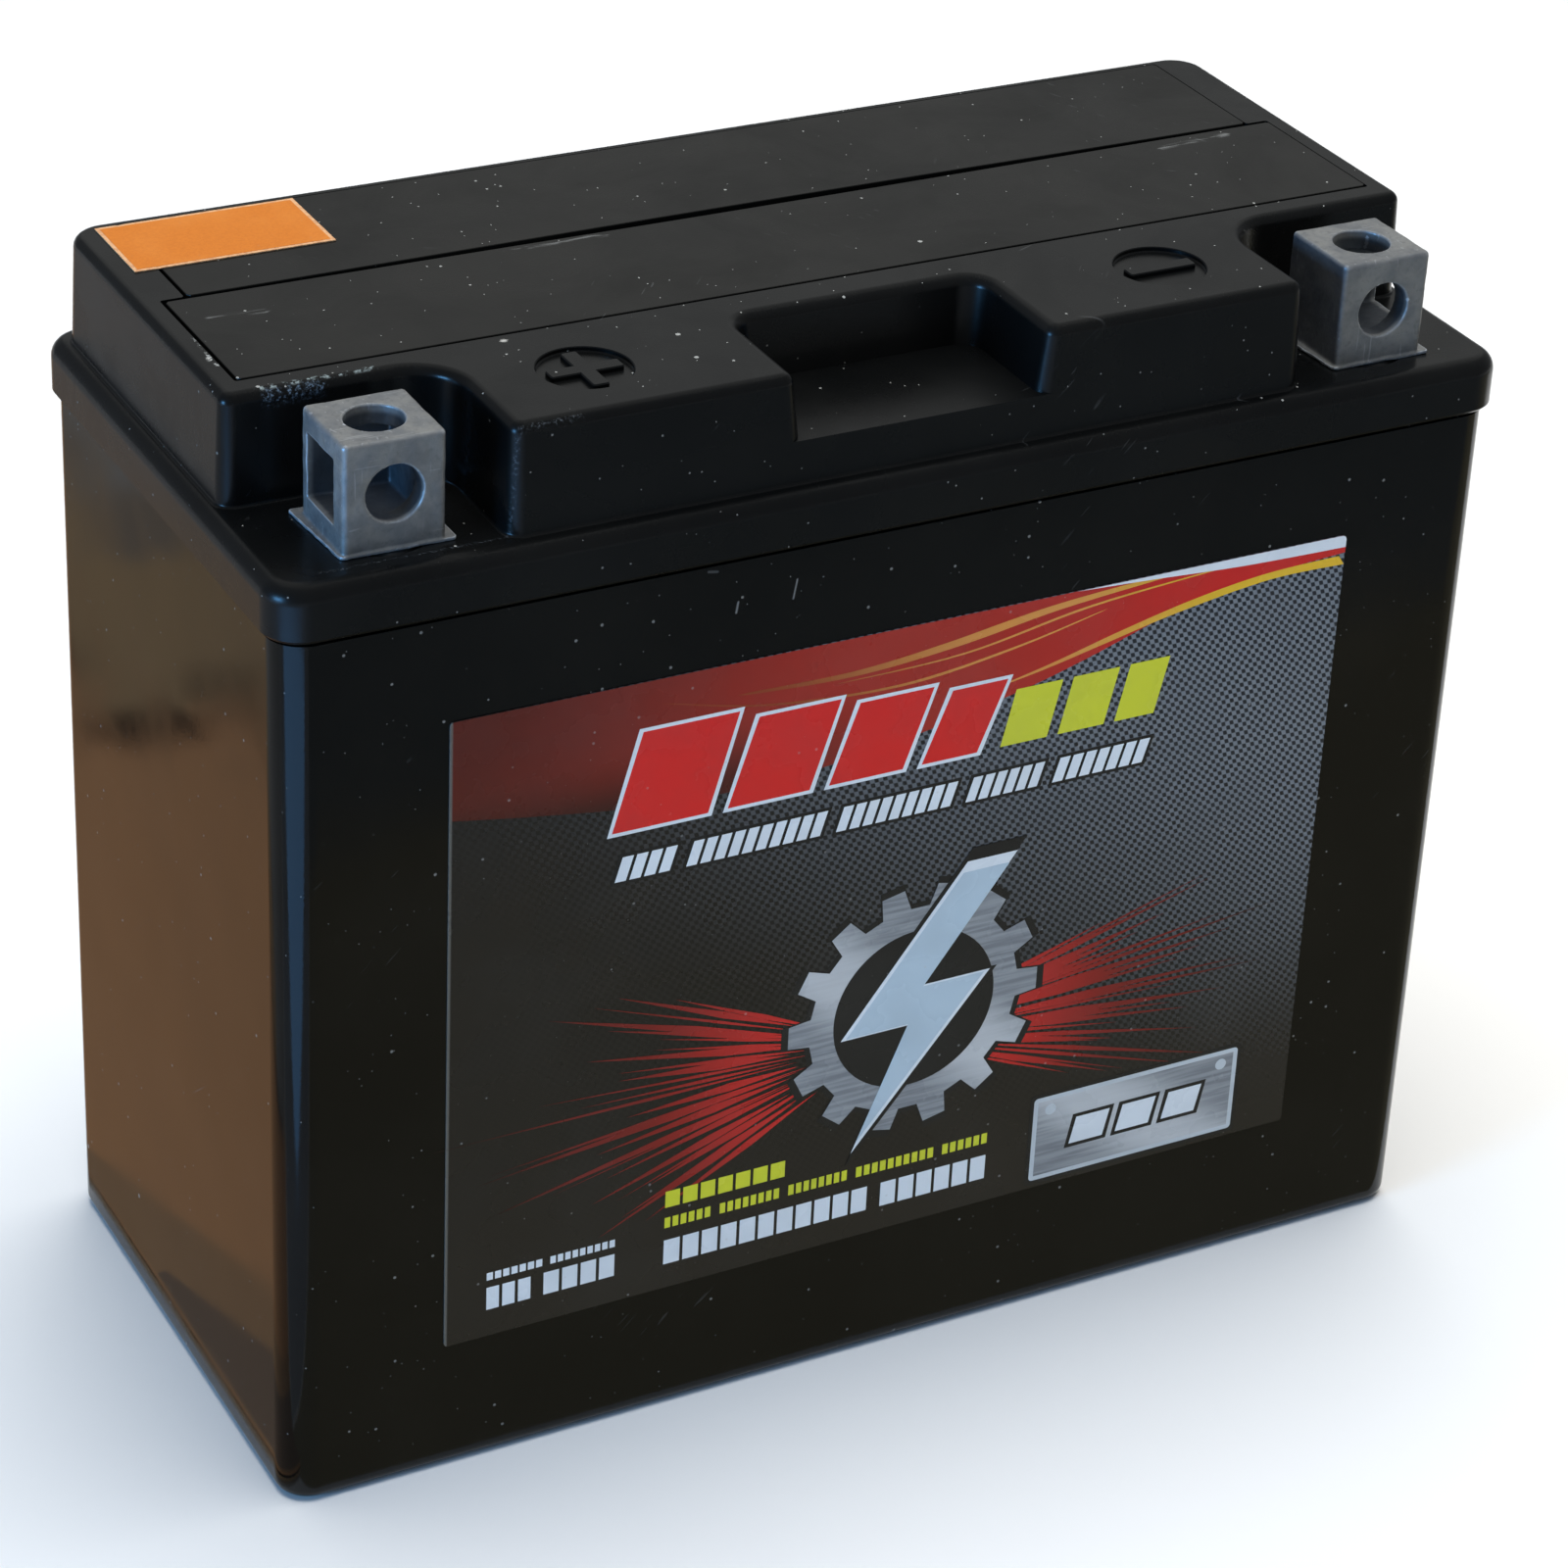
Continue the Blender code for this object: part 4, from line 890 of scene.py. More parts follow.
def build_block():
    """The raised block: full below the notch floor, notched above it, in one closed mesh."""
    shape = bmesh.new()
    # In each ring the points of the notch's four corners run from first to last
    corner_points = BLOCK_CORNER_STEPS + 1
    first = corner_points
    last = first + 4 * corner_points - 1
    low_levels = [(BAND_TOP - OVERLAP, -BLOCK_FOOT_FILLET)]
    for sine, cosine in quarter_steps(4):
        low_levels.append((BAND_TOP + BLOCK_FOOT_FILLET * cosine, -BLOCK_FOOT_FILLET * sine))
    high_levels = [(NOTCH_FLOOR, 0.0)]
    for sine, cosine in quarter_steps(6):
        high_levels.append((TOP - BLOCK_EDGE * sine, BLOCK_EDGE * cosine))
    high_loops = [[shape.verts.new(point) for point in block_ring(*level)] for level in high_levels]
    low_loops = []
    for level in low_levels:
        ring = block_ring(*level)
        low_loops.append([shape.verts.new(point) for point in ring[:first + 1] + ring[last:]])
    floor_loop = high_loops[0]
    low_loops.append(floor_loop[:first + 1] + floor_loop[last:])
    for loops in (low_loops, high_loops):
        bridge(shape, loops)
    shape.faces.new(list(reversed(low_loops[0])))
    shape.faces.new(high_loops[-1])
    shape.faces.new(list(reversed(floor_loop[first:last + 1])))
    lip = shape.edges.get((floor_loop[first], floor_loop[last]))
    bmesh.ops.recalc_face_normals(shape, faces=shape.faces)
    bmesh.ops.bevel(shape, geom=[lip], offset=NOTCH_LIP, segments=5, profile=0.5, affect="EDGES")
    return shape


def underside_outline(cell):
    """The (y, z) outline of the hollow under the lid block over one cell."""
    below = DECK_UNDERSIDE - OVERLAP
    back = BLOCK_BACK - BLOCK_BACK_WALL
    chamber_ceiling = CHAMBER_FLOOR - CHAMBER_FLOOR_THICKNESS
    wall = CHAMBER_FRONT - LID_WALL
    plate_ceiling = POCKET_FLOOR - LID_WALL
    outline = [(back, below), (back, chamber_ceiling), (wall, chamber_ceiling), (wall, plate_ceiling)]
    front = BLOCK_FRONT + LID_WALL
    if cell in (0, CELLS - 1):
        hollow_front = RECESS_BACK + LID_WALL
        return outline + [(hollow_front, plate_ceiling), (hollow_front, below)]
    if cell in (1, CELLS - 2):
        step_y = STRIP_POCKET_FRONT - LID_WALL
        high = TOP - LID_WALL
    else:
        step_y = NOTCH_BACK + NOTCH_DRAFT * (TOP - NOTCH_FLOOR) + LID_WALL
        high = NOTCH_FLOOR - LID_WALL
    return outline + [(step_y, plate_ceiling), (step_y, high), (front, high), (front, below)]


def add_underside(shape):
    """The step in the lid's underside that takes the case's upper edge."""
    corners = rectangle(-CASE_X, CASE_X, -CASE_Y, CASE_Y, CASE_CORNER, 12)
    reach = TONGUE_STEP - CLEARANCE
    upright(shape, corners, [(BAND_BOTTOM - OVERLAP, reach), (DECK_UNDERSIDE, reach)])


def add_lid_hollows(shape):
    half = CELL_WIDTH / 2 - HOLLOW_INSET
    for cell in range(CELLS):
        sides = (cell_centre(cell) - half, cell_centre(cell) + half)
        loft(shape, [[(x, y, z) for y, z in underside_outline(cell)] for x in sides])


def add_plate_pocket(shape):
    """The pocket for both plates; the part for the vent plate is shorter."""
    points = [
        (-STRIP_POCKET_X, STRIP_POCKET_FRONT),
        (STRIP_POCKET_X, STRIP_POCKET_FRONT),
        (STRIP_POCKET_X, PLATE_SPLIT),
        (COVER_POCKET_X, PLATE_SPLIT),
        (COVER_POCKET_X, COVER_POCKET_BACK),
        (-COVER_POCKET_X, COVER_POCKET_BACK),
        (-COVER_POCKET_X, PLATE_SPLIT),
        (-STRIP_POCKET_X, PLATE_SPLIT),
    ]
    corners = [(x, y, PLATE_CORNER, 3) for x, y in points]
    upright(shape, corners, [(POCKET_FLOOR, 0.0), (TOP + OVERLAP, 0.0)])


def add_necks_and_bosses(shape):
    """The necks that the valve caps sit on, and the bosses round the terminals' shanks."""
    edge = 0.3 * MM
    for cell in range(CELLS):
        profile = [(NECK_RADIUS, CHAMBER_FLOOR - OVERLAP), (NECK_RADIUS, NECK_TOP - edge)]
        profile.append((NECK_RADIUS - edge, NECK_TOP))
        turned_solid(shape, (cell_centre(cell), VALVE_Y, 0.0), profile)
    for side in (-1, 1):
        profile = [(BOSS_RADIUS, BOSS_BOTTOM), (BOSS_RADIUS, DECK_UNDERSIDE + OVERLAP)]
        turned_solid(shape, (side * TERMINAL_X, TERMINAL_Y, 0.0), profile)


def add_lid_bores(shape):
    """Bores through the necks, for the plugs, and for the terminals' shanks and seals."""
    floor_low = CHAMBER_FLOOR - CHAMBER_FLOOR_THICKNESS - OVERLAP
    plate_low = POCKET_FLOOR - LID_WALL - OVERLAP
    plug_hole = PLUG_RADIUS + PLUG_CLEARANCE
    seal_floor = BAND_TOP - SEAL_POCKET_DEPTH
    for cell in range(CELLS):
        x = cell_centre(cell)
        turned_solid(shape, (x, VALVE_Y, 0.0), [(NECK_BORE, floor_low), (NECK_BORE, NECK_TOP + OVERLAP)])
        turned_solid(shape, (x, PLUG_Y, 0.0), [(plug_hole, plate_low), (plug_hole, POCKET_FLOOR + OVERLAP)])
    for side in (-1, 1):
        profile = [(SHANK_BORE, BOSS_BOTTOM - OVERLAP), (SHANK_BORE, seal_floor)]
        profile += [(SEAL_POCKET_RADIUS, seal_floor), (SEAL_POCKET_RADIUS, BAND_TOP + OVERLAP)]
        turned_solid(shape, (side * TERMINAL_X, TERMINAL_Y, 0.0), profile)


def cut_polarity_mark(lid, side, bars):
    """A round recess with the sign's bars left standing in it."""
    x, y = side * MARK_X, MARK_Y
    floor = TOP - MARK_DEPTH
    profile = [(MARK_RADIUS - 0.15 * MM, floor), (MARK_RADIUS, floor + 0.15 * MM)]
    profile.append((MARK_RADIUS, TOP - 0.1 * MM))
    profile += [(MARK_RADIUS + 0.1 * MM, TOP), (MARK_RADIUS + 0.1 * MM, TOP + OVERLAP)]
    cut(lid, solid(turned_solid, (x, y, 0.0), profile, segments=64))
    levels = [(floor - OVERLAP, 0.0), (TOP - 0.2 * MM, 0.0), (TOP - 0.05 * MM, 0.12 * MM)]
    for long_x, long_y in bars:
        corners = rectangle(x - long_x / 2, x + long_x / 2, y - long_y / 2, y + long_y / 2, 0.3 * MM, 4)
        join(lid, solid(upright, corners, levels))


def build_lid(material):
    corners = rectangle(-BAND_X, BAND_X, -BAND_Y, BAND_Y, BAND_CORNER, 12)
    levels = [(BAND_BOTTOM, BAND_CHAMFER), (BAND_BOTTOM + BAND_CHAMFER, 0.0)]
    levels += [(BAND_TOP - BAND_EDGE * sine, BAND_EDGE * cosine) for sine, cosine in quarter_steps(8)]
    lid = make_piece("lid_shell", solid(upright, corners, levels))
    join(lid, build_block())
    for add in (add_underside, add_lid_hollows, add_plate_pocket):
        cut(lid, solid(add))
    chamber = (-CHAMBER_X, CHAMBER_X, CHAMBER_FRONT, CHAMBER_BACK, CHAMBER_FLOOR, POCKET_FLOOR + OVERLAP)
    cut(lid, solid(box, *chamber))
    join(lid, solid(add_necks_and_bosses))
    cut(lid, solid(add_lid_bores))
    crossbar = (MARK_BAR_LENGTH, MARK_BAR_WIDTH)
    cut_polarity_mark(lid, -1, [crossbar, (MARK_BAR_WIDTH, MARK_BAR_LENGTH)])
    cut_polarity_mark(lid, 1, [crossbar])
    return finish_piece(lid, material, replaced=["lid"])


# Plates and valve caps in the lid

def plate_outline(x_low, x_high, y_low, y_high, bow_low, bow_high, inset):
    """A long plate's outline; its two long edges bow by the given amounts towards +Y in the middle."""
    steps = 24
    radius = PLATE_CORNER

    def long_edge(y, bow, order):
        points = []
        for index in order:
            x = x_low + radius + (x_high - x_low - 2 * radius) * index / steps
            points.append((x, y + bow * math.sin(math.pi * index / steps) ** 2))
        return points

    points = long_edge(y_low + inset, bow_low, range(steps + 1))
    points += [(x_high - inset, y_low + radius), (x_high - inset, y_high - radius)]
    points += long_edge(y_high - inset, bow_high, range(steps, -1, -1))
    return points + [(x_low + inset, y_high - radius), (x_low + inset, y_low + radius)]


def plate_body(shape, low, outline_settings):
    levels = [(low, 0.0)] + [(TOP - PLATE_EDGE * s, PLATE_EDGE * c) for s, c in quarter_steps(3)]
    loft(shape, [[(x, y, z) for x, y in plate_outline(*outline_settings, inset)] for z, inset in levels])


def build_plug_strip(material):
    low = POCKET_FLOOR + CLEARANCE
    x_high = STRIP_POCKET_X - TIGHT_GAP
    settings = (STRIP_LOW.x, x_high, STRIP_LOW.y, STRIP_HIGH.y, 0.0, -PLATE_BOW)
    strip = make_piece("filler_plug_strip", solid(plate_body, low, settings))
    plugs = bmesh.new()
    hollows = bmesh.new()
    tip = STRIP_LOW.z
    edge = 0.4 * MM
    inner = PLUG_RADIUS - PLUG_WALL
    for cell in range(CELLS):
        centre = (cell_centre(cell), PLUG_Y, 0.0)
        profile = [(PLUG_RADIUS - edge, tip), (PLUG_RADIUS, tip + edge), (PLUG_RADIUS, low + OVERLAP / 2)]
        turned_solid(plugs, centre, profile)
        turned_solid(hollows, centre, [(inner, tip - OVERLAP), (inner, low - OVERLAP / 2)])
    join(strip, plugs)
    cut(strip, hollows)
    return finish_piece(strip, material, replaced=["plug_strip"])


def build_vent_cover(material):
    x_high = COVER_POCKET_X - TIGHT_GAP
    y_high = COVER_POCKET_BACK - TIGHT_GAP
    settings = (COVER_LOW.x, x_high, COVER_LOW.y, y_high, PLATE_BOW, 0.0)
    cover = make_piece("vent_plate", solid(plate_body, COVER_LOW.z, settings))
    return finish_piece(cover, material, replaced=["vent_cover"])


def build_valve_cap(number, material):
    """A rubber cup over a valve neck, with a rounded crown and a bead at its foot."""
    low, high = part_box(f"valve_cap_{number}")
    middle = (low + high) / 2
    centre = (middle.x, middle.y, 0.0)
    outer = (high.x - low.x) / 2
    inner = NECK_RADIUS + CLEARANCE
    ceiling = NECK_TOP + CLEARANCE
    edge = 0.6 * MM
    bead = 0.25 * MM
    profile = [(outer, low.z), (outer, low.z + 0.8 * MM), (outer - bead, low.z + 1.1 * MM)]
    for sine, cosine in quarter_steps(5):
        profile.append((outer - bead - edge * cosine, high.z - edge * sine))
    cap = make_piece(f"relief_valve_{number}", solid(turned_solid, centre, profile))
    cut(cap, solid(turned_solid, centre, [(inner, low.z - OVERLAP), (inner, ceiling)]))
    body = f"valve_cap_{number}"
    return finish_piece(cap, material, body=body, replaced=[body])


# Terminals

def chamfered_bore(start, reach, facing):
    """Profile of a bolt hole from its mouth inwards: facing is the sign of the way out along its axis."""
    wide = BOLT_HOLE + HOLE_CHAMFER
    profile = [
        (wide, start + facing * OVERLAP),
        (wide, start),
        (BOLT_HOLE, start - facing * HOLE_CHAMFER),
        (BOLT_HOLE, reach),
    ]
    return profile if facing < 0 else profile[::-1]


def roughen(piece, voxel, swell, grain):
    """Remesh finely, then push points about a little, like a coarse casting."""
    remesh = piece.modifiers.new("remesh", "REMESH")
    remesh.mode = "VOXEL"
    remesh.voxel_size = voxel
    apply_modifiers(piece)
    for vertex in piece.data.vertices:
        place = vertex.co / MM
        vertex.co += noise.noise_vector(place * 0.45) * swell
        vertex.co += noise.noise_vector(place * 1.9) * grain


def build_terminal(name, side, material):
    """A hollow lead cube with chamfered bolt holes, a nut slot, a thin cast skirt and a shank."""
    x = side * TERMINAL_X
    base = BAND_TOP + TERMINAL_SEAT
    x_low, x_high = x - TERMINAL_HALF_X, x + TERMINAL_HALF_X
    y_low, y_high = TERMINAL_Y - TERMINAL_HALF_Y, TERMINAL_Y + TERMINAL_HALF_Y
    corners = rectangle(x_low, x_high, y_low, y_high, TERMINAL_CORNER, 6)
    levels = [(base, 0.0)] + [(TOP - TERMINAL_EDGE * s, TERMINAL_EDGE * c) for s, c in quarter_steps(4)]
    terminal = make_piece(f"{name}_cube", solid(upright, corners, levels))
    skirt_corners = [
        (x_low - 2 * SKIRT_FRONT_REACH, y_low - SKIRT_FRONT_REACH, TERMINAL_CORNER, 3),
        (x_high + SKIRT_REACH, y_low - SKIRT_FRONT_REACH, TERMINAL_CORNER / 2, 3),
        (x_high + SKIRT_REACH, y_high + SKIRT_REACH, TERMINAL_CORNER, 3),
        (x_low - SKIRT_REACH, y_high + SKIRT_REACH, TERMINAL_CORNER / 2, 3),
    ]
    join(terminal, solid(upright, skirt_corners, [(base, 0.0), (base + SKIRT_THICKNESS, 0.0)]))
    shank = [(SHANK_RADIUS, SHANK_BOTTOM), (SHANK_RADIUS, base + OVERLAP)]
    join(terminal, solid(turned_solid, (x, TERMINAL_Y, 0.0), shank))

    outer = x + side * (TERMINAL_HALF_X + OVERLAP)
    inner = x - side * (TERMINAL_HALF_X - NUT_SPACE_INNER_WALL)
    slot_x = sorted((outer, inner))
    cut(terminal, solid(box, *slot_x, NUT_SPACE_FRONT, NUT_SPACE_BACK, NUT_SPACE_LOW, NUT_SPACE_HIGH))
    middle = (NUT_SPACE_LOW + NUT_SPACE_HIGH) / 2
    cut(terminal, solid(turned_solid, (x, TERMINAL_Y, 0.0), chamfered_bore(TOP, middle, 1)))
    cut(terminal, solid(turned_solid, (x, 0.0, middle), chamfered_bore(y_low, TERMINAL_Y, -1), axis="Y"))
    roughen(terminal, voxel=0.14 * MM, swell=0.06 * MM, grain=0.012 * MM)
    return finish_piece(terminal, material, replaced=[name], sharp=60)


def build_seal(name, material):
    """A rubber ring of round section."""
    low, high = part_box(name)
    centre = (low + high) / 2
    section = (high.z - low.z) / 2
    radius = (high.x - low.x) / 2 - section
    profile = circle((radius, centre.z), section, 16)
    ring = make_piece(f"{name}_ring", solid(turned_ring, centre, profile))
    return finish_piece(ring, material, replaced=[name])


# Front label

def print_body(shape, outline, layer, layers=1):
    """Add a thin closed layer of print: an (x, z) outline in mm, on a layer counted from the film."""
    back = FILM_FRONT - (layer - 0.5) * PRINT_LAYER
    front = FILM_FRONT - (layer + layers - 0.5) * PRINT_LAYER
    loft(shape, [[(x * MM, y, z * MM) for x, z in outline] for y in (back, front)])


def smooth_line(points, steps=8):
    """Points on a smooth curve through the given ones."""
    ends = [points[0]] + list(points) + [points[-1]]
    line = []
    for before, start, end, after in zip(ends, ends[1:], ends[2:], ends[3:]):
        for step in range(steps):
            t = step / steps
            line.append(tuple(
                0.5 * (
                    2 * s + (e - b) * t
                    + (2 * b - 5 * s + 4 * e - a) * t**2
                    + (3 * s - b - 3 * e + a) * t**3
                )
                for b, s, e, a in zip(before, start, end, after)
            ))
    line.append(points[-1])
    return line


def tapered_stripe(points, width, widest=0.6):
    """A stripe along a smooth line, pointed at both ends and widest at the given share of its length."""
    line = smooth_line(points)
    last = len(line) - 1
    upper, lower = [], []
    for index in range(1, last):
        share = index / last
        reach = share / widest if share < widest else (1 - share) / (1 - widest)
        way = unit(line[index + 1][0] - line[index - 1][0], line[index + 1][1] - line[index - 1][1])
        half = width * math.sqrt(max(reach, 0.0)) / 2
        upper.append((line[index][0] - way[1] * half, line[index][1] + way[0] * half))
        lower.append((line[index][0] + way[1] * half, line[index][1] - way[0] * half))
    return [line[0]] + lower + [line[-1]] + upper[::-1]


def slanted_bar(x_low, x_high, z_low, z_high, lean=0.0, grow=0.0):
    """A bar whose top is moved to the right by lean, made larger all round by grow."""
    spread = lean * grow / max(z_high - z_low, 1.0)
    return [
        (x_low - grow - spread, z_low - grow),
        (x_high + grow, z_low - grow),
        (x_high + lean + grow + spread, z_high + grow),
        (x_low + lean - grow, z_high + grow),
    ]


def film_corner(edge, high, side):
    """Points round an upper corner of the film, from its side to its top."""
    size = LABEL_CORNER / MM
    return [(edge, high - size), (edge - side * size * 0.3, high - size * 0.3), (edge - side * size, high)]


def add_red_band(shape):
    high = LABEL_Z_HIGH / MM
    edge = LABEL_X / MM
    lower = smooth_line([(-edge, 84.6)] + RED_BAND_EDGE + [(edge, 94.2)])
    print_body(shape, lower + film_corner(edge, high, 1) + film_corner(-edge, high, -1)[::-1], 1)


def add_sweeps(shape):
    """The yellow sweep at the right and the thin orange lines across the red."""
    edge = LABEL_X / MM
    lower = smooth_line([(8.0, 86.0), (16.0, 87.3), (24.0, 89.0), (33.5, 91.0), (45.4, 92.7), (edge, 92.7)])
    upper = smooth_line([(edge, 93.9), (45.2, 93.6), (35.6, 92.3), (26.0, 90.2), (17.0, 87.9), (8.0, 86.0)])
    print_body(shape, lower + upper[1:-1], 2)
    for points, width in ORANGE_LINES:
        print_body(shape, tapered_stripe(points, width), 2)


def add_white_sweep(shape):
    high = LABEL_Z_HIGH / MM
    edge = LABEL_X / MM
    lower = smooth_line([(20.0, high), (30.0, 95.9), (42.0, 95.2), (edge, 94.9)])
    print_body(shape, lower + film_corner(edge, high, 1), 3)


def add_bars(shape, bars, lean, layer, grow=0.0):
    """Slanted bars on the badge's base line, each given as (x_low, x_high, z_high)."""
    for x_low, x_high, z_high in bars:
        print_body(shape, slanted_bar(x_low, x_high, BADGE_LOW, z_high, lean, grow), layer)


def add_blocks(shape, bounds, pitch, gap, layer, lean=0.0):
    """A bar cut into equal slanted blocks."""
    x_low, x_high, z_low, z_high = bounds
    count = max(round((x_high - x_low + gap) / pitch), 1)
    step = (x_high - x_low + gap) / count
    for index in range(count):
        left = x_low + index * step
        print_body(shape, slanted_bar(left, left + step - gap, z_low, z_high, lean), layer)


def add_rays(shape):
    """Thin red rays to the right and then to the left of the emblem."""
    draws = random.Random(7)
    for sweep, towards, tilt in ((0.9, 0.0, -0.05), (1.15, math.pi, 0.03)):
        for index in range(RAYS_A_SIDE):
            spread = -0.42 + 0.84 * (index + draws.uniform(0.1, 0.9)) / RAYS_A_SIDE
            angle = spread * sweep + towards + tilt
            length = draws.uniform(32.0, 58.0) * (1.0 - 0.9 * abs(spread) ** 1.5)
            start = draws.uniform(9.0, 13.0)
            half = draws.uniform(0.16, 0.55)
            root = circle_point(RAY_CENTRE, start, angle)
            tip = circle_point(RAY_CENTRE, length, angle)
            middle = (root[0] * 0.6 + tip[0] * 0.4, root[1] * 0.6 + tip[1] * 0.4)
            left = circle_point(middle, half, angle + math.pi / 2)
            right = circle_point(middle, -half, angle + math.pi / 2)
            print_body(shape, [root, right, tip, left], 1 + 0.2 * (index % 2), 0.8)


def gear_outline(centre, radius, depth, teeth):
    """A cog's outline: for each tooth, the two corners of its foot and the two of its top."""
    points = []
    for tooth in range(teeth):
        for share, reach in ((-0.30, 0.0), (-0.20, depth), (0.20, depth), (0.30, 0.0)):
            points.append(circle_point(centre, radius + reach, 2 * math.pi * (tooth + share) / teeth))
    return points


def bolt_outline(grow):
    """A lightning bolt on the emblem that leans to the right, made larger by the factor grow."""
    height = BOLT_HEIGHT * grow
    return [(EMBLEM_CENTRE[0] + x * height, EMBLEM_CENTRE[1] + z * height) for x, z in BOLT_SHARES]


def silver_plate(radius, inset=0.0, grow=0.0):
    """The outline of the silver plate at the label's lower right."""
    x_low, x_high, z_low, z_high = SILVER_PLATE
    corners = rectangle(x_low - grow, x_high + grow, z_low - grow, z_high + grow, radius, 4)
    return rounded_outline(corners, inset)


def add_plate_bars(shape, layer, layers=1, grow=0.0):
    """The three plain bars on the silver plate."""
    for index in range(3):
        left = SILVER_PLATE[0] + 5.2 + index * 6.4
        z_low = SILVER_PLATE[2] + 4.0
        print_body(shape, slanted_bar(left, left + 4.6, z_low, z_low + 3.6, 0.8, grow), layer, layers)


def draw_white(shape):
    add_white_sweep(shape)
    add_bars(shape, BADGE_BARS, BADGE_LEAN, 3, grow=0.45)
    for x_low, x_high in LINE_BARS:
        add_blocks(shape, (x_low, x_high, LINE_LOW, LINE_HIGH), 1.66, 0.42, 3, LINE_LEAN)
    print_body(shape, bolt_outline(1.06), 6)
    for bounds, pitch, gap in WHITE_BLOCKS:
        add_blocks(shape, bounds, pitch, gap, 2)
    add_plate_bars(shape, 5)


def draw_dark(shape):
    """The dark outlines behind the pale bars and inside the emblem."""
    for x_low, x_high in LINE_BARS:
        print_body(shape, slanted_bar(x_low, x_high, LINE_LOW, LINE_HIGH, LINE_LEAN, 0.4), 2)
    print_body(shape, gear_outline(EMBLEM_CENTRE, 14.2, 2.9, COG_TEETH), 2)
    print_body(shape, circle(EMBLEM_CENTRE, 10.4), 4)
    print_body(shape, bolt_outline(1.16), 5)
    print_body(shape, silver_plate(0.6, grow=0.5), 2)
    add_plate_bars(shape, 4.4, 0.5, grow=0.5)


def draw_red_bars(shape):
    add_bars(shape, BADGE_BARS, BADGE_LEAN, 4)


def draw_yellow(shape):
    add_bars(shape, ACCENT_BARS, ACCENT_LEAN, 3)
    for bounds, pitch, gap in YELLOW_BLOCKS:
        add_blocks(shape, bounds, pitch, gap, 2)


def draw_silver(shape):
    print_body(shape, silver_plate(0.5, inset=0.6), 3.6)
    print_body(shape, gear_outline(EMBLEM_CENTRE, 13.5, 2.7, COG_TEETH), 3)


def draw_silver_light(shape):
    """The plate's bright edge and its two rivets."""
    x_low, x_high, _, z_high = SILVER_PLATE
    print_body(shape, silver_plate(0.5), 3, 0.5)
    for x in (x_low + 2.3, x_high - 2.3):
        print_body(shape, circle((x, z_high - 1.9), 0.75, 24), 4.8)


def draw_bolt(shape):
    print_body(shape, bolt_outline(0.98), 7)


def build_label():
    outline = rounded_outline(rectangle(-LABEL_X, LABEL_X, LABEL_Z_LOW, LABEL_Z_HIGH, LABEL_CORNER, 6))
    rings = [[(x, y, z) for x, z in outline] for y in (FILM_BACK, FILM_FRONT)]
    film = make_piece("label_film_sheet", solid(loft, rings))
    finish_piece(film, printed("film_print", film_color), replaced=["front_label"])
    for name, print_name, color_of, draw in (
        ("label_rays", "ray_print", streak_color, add_rays),
        ("label_red_band", "red_print", red_color, add_red_band),
        ("label_sweeps", "sweep_print", stripe_color, add_sweeps),
        ("label_white", "white_print", flat_color((0.74, 0.82, 0.90)), draw_white),
        ("label_dark", "dark_print", flat_color((0.012, 0.013, 0.015)), draw_dark),
        ("label_red_bars", "bright_red_print", flat_color((0.72, 0.010, 0.010)), draw_red_bars),
        ("label_yellow", "yellow_print", flat_color((0.66, 0.70, 0.03)), draw_yellow),
        ("label_silver", "silver_print", silver_color, draw_silver),
        ("label_bright", "bright_print", flat_color((0.55, 0.62, 0.68)), draw_silver_light),
        ("label_bolt", "bolt_print", flat_color((0.48, 0.62, 0.74)), draw_bolt),
    ):
        finish_piece(make_piece(name, solid(draw)), printed(print_name, color_of))


# Orange sticker

def sticker_sheet(shape, inset, low, high):
    """A thin sheet that dips a little where it crosses the gap beside the vent plate."""
    x_low, x_high = STICKER_LOW.x + inset, STICKER_HIGH.x - inset
    y_low, y_high = STICKER_LOW.y + inset, STICKER_HIGH.y - inset
    y_middle = (STICKER_LOW.y + STICKER_HIGH.y) / 2
    gap_x = COVER_LOW.x - PLATE_GAP / 2
    base = TOP + 0.02 * MM
    columns = 60
    rings = []
    for column in range(columns + 1):
        x = x_low + (x_high - x_low) * column / columns
        dip = 0.05 * MM * math.exp(-((x - gap_x) / (0.35 * MM)) ** 2)
        under = [(x, y, base + low) for y in (y_low, y_middle, y_high)]
        upper = [(x, y, base + high - dip) for y in (y_high, y_middle, y_low)]
        rings.append(under + upper)
    loft(shape, rings)


def build_sticker():
    """An orange print on a slightly larger pale paper."""
    paper = make_piece("sticker_paper", solid(sticker_sheet, 0.0, 0.0, STICKER_THICKNESS))
    finish_piece(paper, pale_paper(), replaced=["top_sticker"])
    print_low = STICKER_THICKNESS + 0.005 * MM
    print_high = print_low + 0.02 * MM
    print_sheet = make_piece("sticker_print", solid(sticker_sheet, STICKER_BORDER, print_low, print_high))
    finish_piece(print_sheet, sticker_paper())


# Materials of the CAD nodes that stay

def dress_cad_nodes():
    """Give the CAD nodes that stay, inside the case, their materials."""
    positive = plate_paste("positive_paste_surface", (0.045, 0.018, 0.010), (0.11, 0.050, 0.030))
    negative = plate_paste("negative_paste_surface", (0.13, 0.14, 0.15), (0.26, 0.27, 0.28))
    mat = glass_mat()
    lead = cast_lead()
    looks = {"positive_plate": positive, "negative_plate": negative, "separator": mat, "intercell_weld": lead}
    for name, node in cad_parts.items():
        for start, material in looks.items():
            if name.startswith(start):
                node.data.materials.clear()
                node.data.materials.append(material)


# Stage, lights and camera

